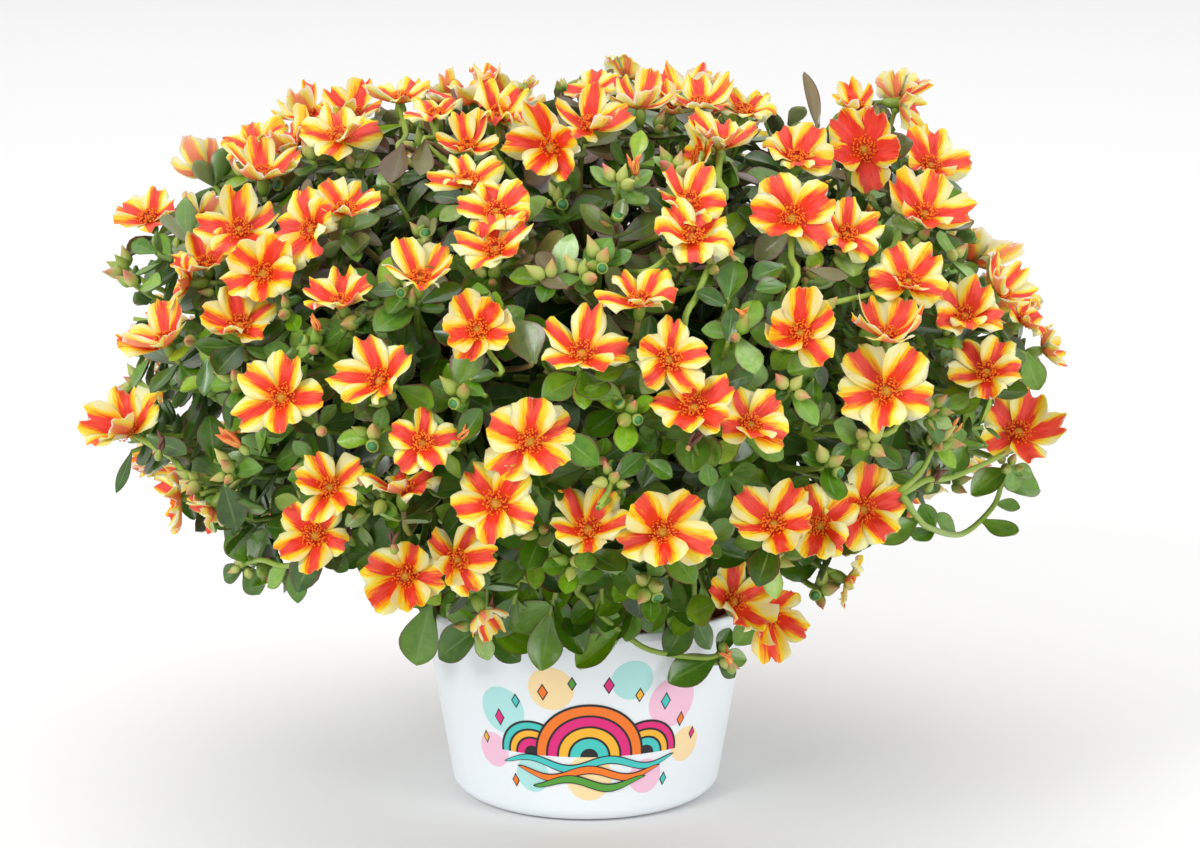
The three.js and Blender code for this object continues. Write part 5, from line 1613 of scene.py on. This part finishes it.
def cover_wall(side, height, proud):
    """A point on the cover pot's front, from its place round the wall and up it."""
    radius = cover_radius(height) + proud
    angle = (side + PRINT["centre"]) / PRINT["radius"]
    return np.stack([radius * np.sin(angle), -radius * np.cos(angle), height], axis=-1)


def add_strip(piece, first, second, layer, slot):
    """A thin closed plate on the wall between two rows of places."""
    first, second = np.asarray(first, float), np.asarray(second, float)
    loop = np.concatenate([first, second[::-1]])
    x, z = loop[:, 0], loop[:, 1]
    if np.sum(x * np.roll(z, -1) - z * np.roll(x, -1)) < 0:
        first, second = second, first
    n = len(first)
    rows = []
    for proud in (PRINT["proud"] * layer, -PRINT["sunk"]):
        rows += [cover_wall(row[:, 0], row[:, 1], proud) for row in (first, second)]
    front_first, front_second = np.arange(n), np.arange(n) + n
    back_first, back_second = np.arange(n) + 2 * n, np.arange(n) + 3 * n

    def band(a, b):
        return np.stack([a[:-1], a[1:], b[1:], b[:-1]], axis=1)

    ends = np.array([[0, n, 3 * n, 2 * n], [n - 1, 3 * n - 1, 4 * n - 1, 2 * n - 1]])
    faces = [band(front_first, front_second), band(back_second, back_first),
             band(back_first, front_first), band(front_second, back_second), ends]
    piece.add(np.concatenate(rows), faces, slots=[slot] * 5)


def add_arch(piece, centre, foot, inner, outer, layer, slot):
    """Half a ring that stands on its feet."""
    turns = np.linspace(0, math.pi, 29)
    circle = np.stack([np.cos(turns), np.sin(turns)], axis=1)
    add_strip(piece, circle * inner + [centre, foot], circle * outer + [centre, foot], layer, slot)


def add_disc(piece, centre, height, radius, layer, slot):
    turns = np.linspace(0, math.pi, 15)
    upper = np.stack([np.cos(turns), np.sin(turns)], axis=1) * radius
    add_strip(piece, upper + [centre, height], upper * [1, -1] + [centre, height], layer, slot)


def add_diamond(piece, centre, height, size, layer, slot):
    upper = [(centre - size * 0.6, height), (centre, height + size), (centre + size * 0.6, height)]
    lower = [(centre - size * 0.6, height), (centre, height - size), (centre + size * 0.6, height)]
    add_strip(piece, upper, lower, layer, slot)


def add_wave(piece, height, depth, reach, phase, layer, slot):
    """A wavy band that tapers to both sides."""
    side = np.linspace(-reach, reach, 49)
    line = height + PRINT["wave_height"] * np.sin(side / PRINT["wave_length"] + phase)
    taper = depth * np.sqrt(np.maximum(1 - (side / reach) ** 2, 0))
    upper, lower = np.stack([side, line + taper], axis=1), np.stack([side, line - taper], axis=1)
    add_strip(piece, upper, lower, layer, slot)


def build_print():
    """Plain arches, waves, dots and diamonds in bright colours on the cover pot's front."""
    piece = Piece("cover_pot_print")
    line = PRINT["line"]
    for centre, height, radius, slot in BUBBLES:
        add_disc(piece, centre, height, radius, 1, slot)
    for number, (centre, outer, colours) in enumerate(ARCHES):
        layer = 2 + 2 * number
        width = (outer - PRINT["hollow"]) / len(colours)
        add_arch(piece, centre, PRINT["foot"], 0, PRINT["hollow"], layer, DARK)
        for ring, slot in enumerate(colours):
            far = outer - ring * width
            add_arch(piece, centre, PRINT["foot"], far - width, far, layer, slot)
            add_arch(piece, centre, PRINT["foot"], far - line, far + line, layer + 1, DARK)
    for number, (height, reach, phase, slot) in enumerate(WAVES):
        layer = PRINT["wave_layer"] + 2 * number
        add_wave(piece, height, PRINT["wave_depth"], reach, phase, layer, DARK)
        add_wave(piece, height, PRINT["wave_depth"] - line, reach - 1, phase, layer + 1, slot)
    for centre, height, size, slot in DIAMONDS:
        add_diamond(piece, centre, height, size + 2 * line, 2, DARK)
        add_diamond(piece, centre, height, size, 3, slot)
    materials = [plain_material("ink_" + name, srgb(*colour), 0.4) for name, colour in INKS]
    piece.build(materials, "cover_pot", smooth=False)


def growing_pot_profile():
    pot = GROWING_POT
    band = pot["top"] - pot["band"]
    rim, wall, step = pot["rim_radius"], pot["wall"], pot["step"]
    top = arc((rim - wall / 2, pot["top"] - wall / 2), wall / 2, 0, 180, 7)
    inner_step = rim - step - wall
    return [(NEAR_AXIS, pot["base"]), (pot["base_radius"] - 1, pot["base"]),
            (pot["base_radius"], pot["base"] + 1),
            (rim - step, band - 0.3), (rim - 0.4, band), (rim, band + 0.5), *top,
            (rim - wall, band + wall + 0.4), (inner_step, band + wall),
            (pot["base_radius"] - wall, pot["base"] + pot["floor"]),
            (NEAR_AXIS, pot["base"] + pot["floor"])]


def build_pots():
    cover = Piece("cover_pot_shell")
    lathe(cover, np.zeros(3), UP, cover_pot_profile(), COVER_POT["sides"])
    cover.build([WHITE_PLASTIC], "cover_pot", ["cover_pot"])
    build_print()
    growing = Piece("growing_pot_shell")
    lathe(growing, np.zeros(3), UP, growing_pot_profile(), GROWING_POT["sides"])
    growing.build([TERRACOTTA], "growing_pot", ["growing_pot"])
    build_soil()


def build_soil():
    """A mass of soil with an uneven top and some loose grains."""
    soil = Piece("soil_mix")
    rings, sides = SOIL["rings"], SOIL["sides"]
    profile = [(NEAR_AXIS, SOIL["bottom"]), (SOIL["foot_radius"], SOIL["bottom"]),
               (SOIL["radius"], SOIL["shoulder"])]
    for k in range(rings + 1):
        drop = SOIL["edge_drop"] if k == 0 else 0
        profile.append((SOIL["radius"] * (1 - k / rings) + NEAR_AXIS, SOIL["top"] - drop))
    lathe(soil, np.zeros(3), UP, profile, sides)
    points = soil.points[0]
    top = points[:, 2] > SOIL["uneven_from"]
    x, y = points[:, 0], points[:, 1]
    (broad, broad_x, broad_y), (fine, fine_x, fine_y) = SOIL_BUMPS
    bumps = broad * np.sin(x * broad_x) * np.cos(y * broad_y + 1)
    points[:, 2] += np.where(top, bumps + fine * np.sin(x * fine_x + y * fine_y), 0)
    for k in range(SOIL["grains"]):
        reach = SOIL["grain_reach"] * math.sqrt(drawn("grain_spread", k))
        out = outward(UP, drawn("grain_turn", k))
        size = drawn("grain_size", k)
        centre = out * reach + UP * (SOIL["top"] + 0.4)
        way = unit(UP + outward(UP, drawn("grain_lean", k)) * 0.8)
        lathe(soil, centre, way, scaled(GRAIN_PROFILE, size, size), 5)
    soil.build([SOIL_MIX], "soil", ["soil"])


# ---------------------------------------------------------------- the plant

STEM_NODES = sorted(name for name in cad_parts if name.startswith("flowering_stem"))


def add_main_stems(plant):
    """From a plain foot in the soil to each hub."""
    for hub in HUBS:
        foot = np.array([hub["out"][0], hub["out"][1], 0]) * FOOT["ring"]
        low = foot + UP * (SOIL["top"] - FOOT["depth"])
        bend = foot + UP * (SOIL["top"] + FOOT["rise"])
        rising = curve_between(foot + UP * SOIL["top"], bend, hub["centre"], 9)
        add_stem(plant.stems, np.concatenate([[low], rising]), "main", (0.5, 0.7, 0.3))


def build_plant():
    plant = Plant()
    for bloom in BLOOMS:
        add_petals(plant.bloom_place(bloom), bloom)
        add_stamens(plant.tufts, bloom)
        add_calyx(plant.stems, bloom)
        add_bloom_collar(plant, bloom)
    add_main_stems(plant)
    for tier in (OUTER_SHOOTS, INNER_SHOOTS, CORE_SHOOTS):
        add_shoots(plant, tier)
    add_front_details(plant)
    add_front_leaves(plant)
    add_stalks(plant)
    add_rim_leaves(plant)
    add_tall_leaf(plant)
    add_trails(plant)
    for piece in (plant.blooms_left, plant.blooms_right, plant.blooms_back):
        piece.build([PETAL, PETAL_BACK], "plant", STEM_NODES)
    for piece in (plant.leaves_left, plant.leaves_right, plant.leaves_back):
        piece.build([LEAF_UPPER, LEAF_UNDER], "plant", STEM_NODES)
    # The inner leaves take the shaded copy on both faces: painted shade.
    plant.leaves_inner.build([LEAF_PAINTED_SHADE, LEAF_PAINTED_SHADE], "plant", STEM_NODES)
    plant.tufts.build([FILAMENT, ANTHER, BOSS], "plant", STEM_NODES)
    plant.stems.build([STEM], "plant", STEM_NODES)
    plant.buds.build([BUD, CUP_INSIDE], "plant", STEM_NODES)
    plant.spent.build([SPENT, DEAD], "plant", STEM_NODES)


# ---------------------------------------------------------------- floor, light and camera


def build_stage():
    bpy.ops.mesh.primitive_circle_add(
        vertices=FLOOR["sides"], radius=FLOOR["radius"], fill_type="NGON")
    floor = bpy.context.object
    floor.name = "floor"
    floor.location.z = -FLOOR["drop"]
    floor.data.materials.append(
        plain_material("pale_floor", FLOOR["colour"], FLOOR["roughness"], FLOOR["specular"]))
    world = bpy.data.worlds.new("studio")
    bpy.context.scene.world = world
    world.use_nodes = True
    sky = world.node_tree.nodes["Background"]
    sky.inputs["Color"].default_value = (1, 1, 1, 1)
    sky.inputs["Strength"].default_value = WORLD_LIGHT


def add_light(name, place, target, power, size):
    data = bpy.data.lights.new(name, "AREA")
    data.energy = power
    data.size = size
    light = bpy.data.objects.new(name, data)
    bpy.context.scene.collection.objects.link(light)
    light.location = place
    way = np.array(target) - np.array(place)
    light.rotation_mode = "QUATERNION"
    light.rotation_quaternion = Vector(way).to_track_quat("-Z", "Y")


def build_camera():
    data = bpy.data.cameras.new("camera")
    data.sensor_width = LENS["sensor"]
    data.lens = LENS["length"]
    data.clip_start = LENS["near"]
    data.clip_end = LENS["far"]
    camera = bpy.data.objects.new("camera", data)
    bpy.context.scene.collection.objects.link(camera)
    camera.location = EYE_PLACE * MM
    camera.rotation_euler = (math.radians(90 - EYE["pitch"]), 0, 0)
    bpy.context.scene.camera = camera


build_pots()
build_plant()
build_stage()
for light_name, light in LIGHTS.items():
    add_light(light_name, **light)
build_camera()
bpy.context.scene.view_settings.view_transform = "Standard"
bpy.context.scene.view_settings.look = "None"
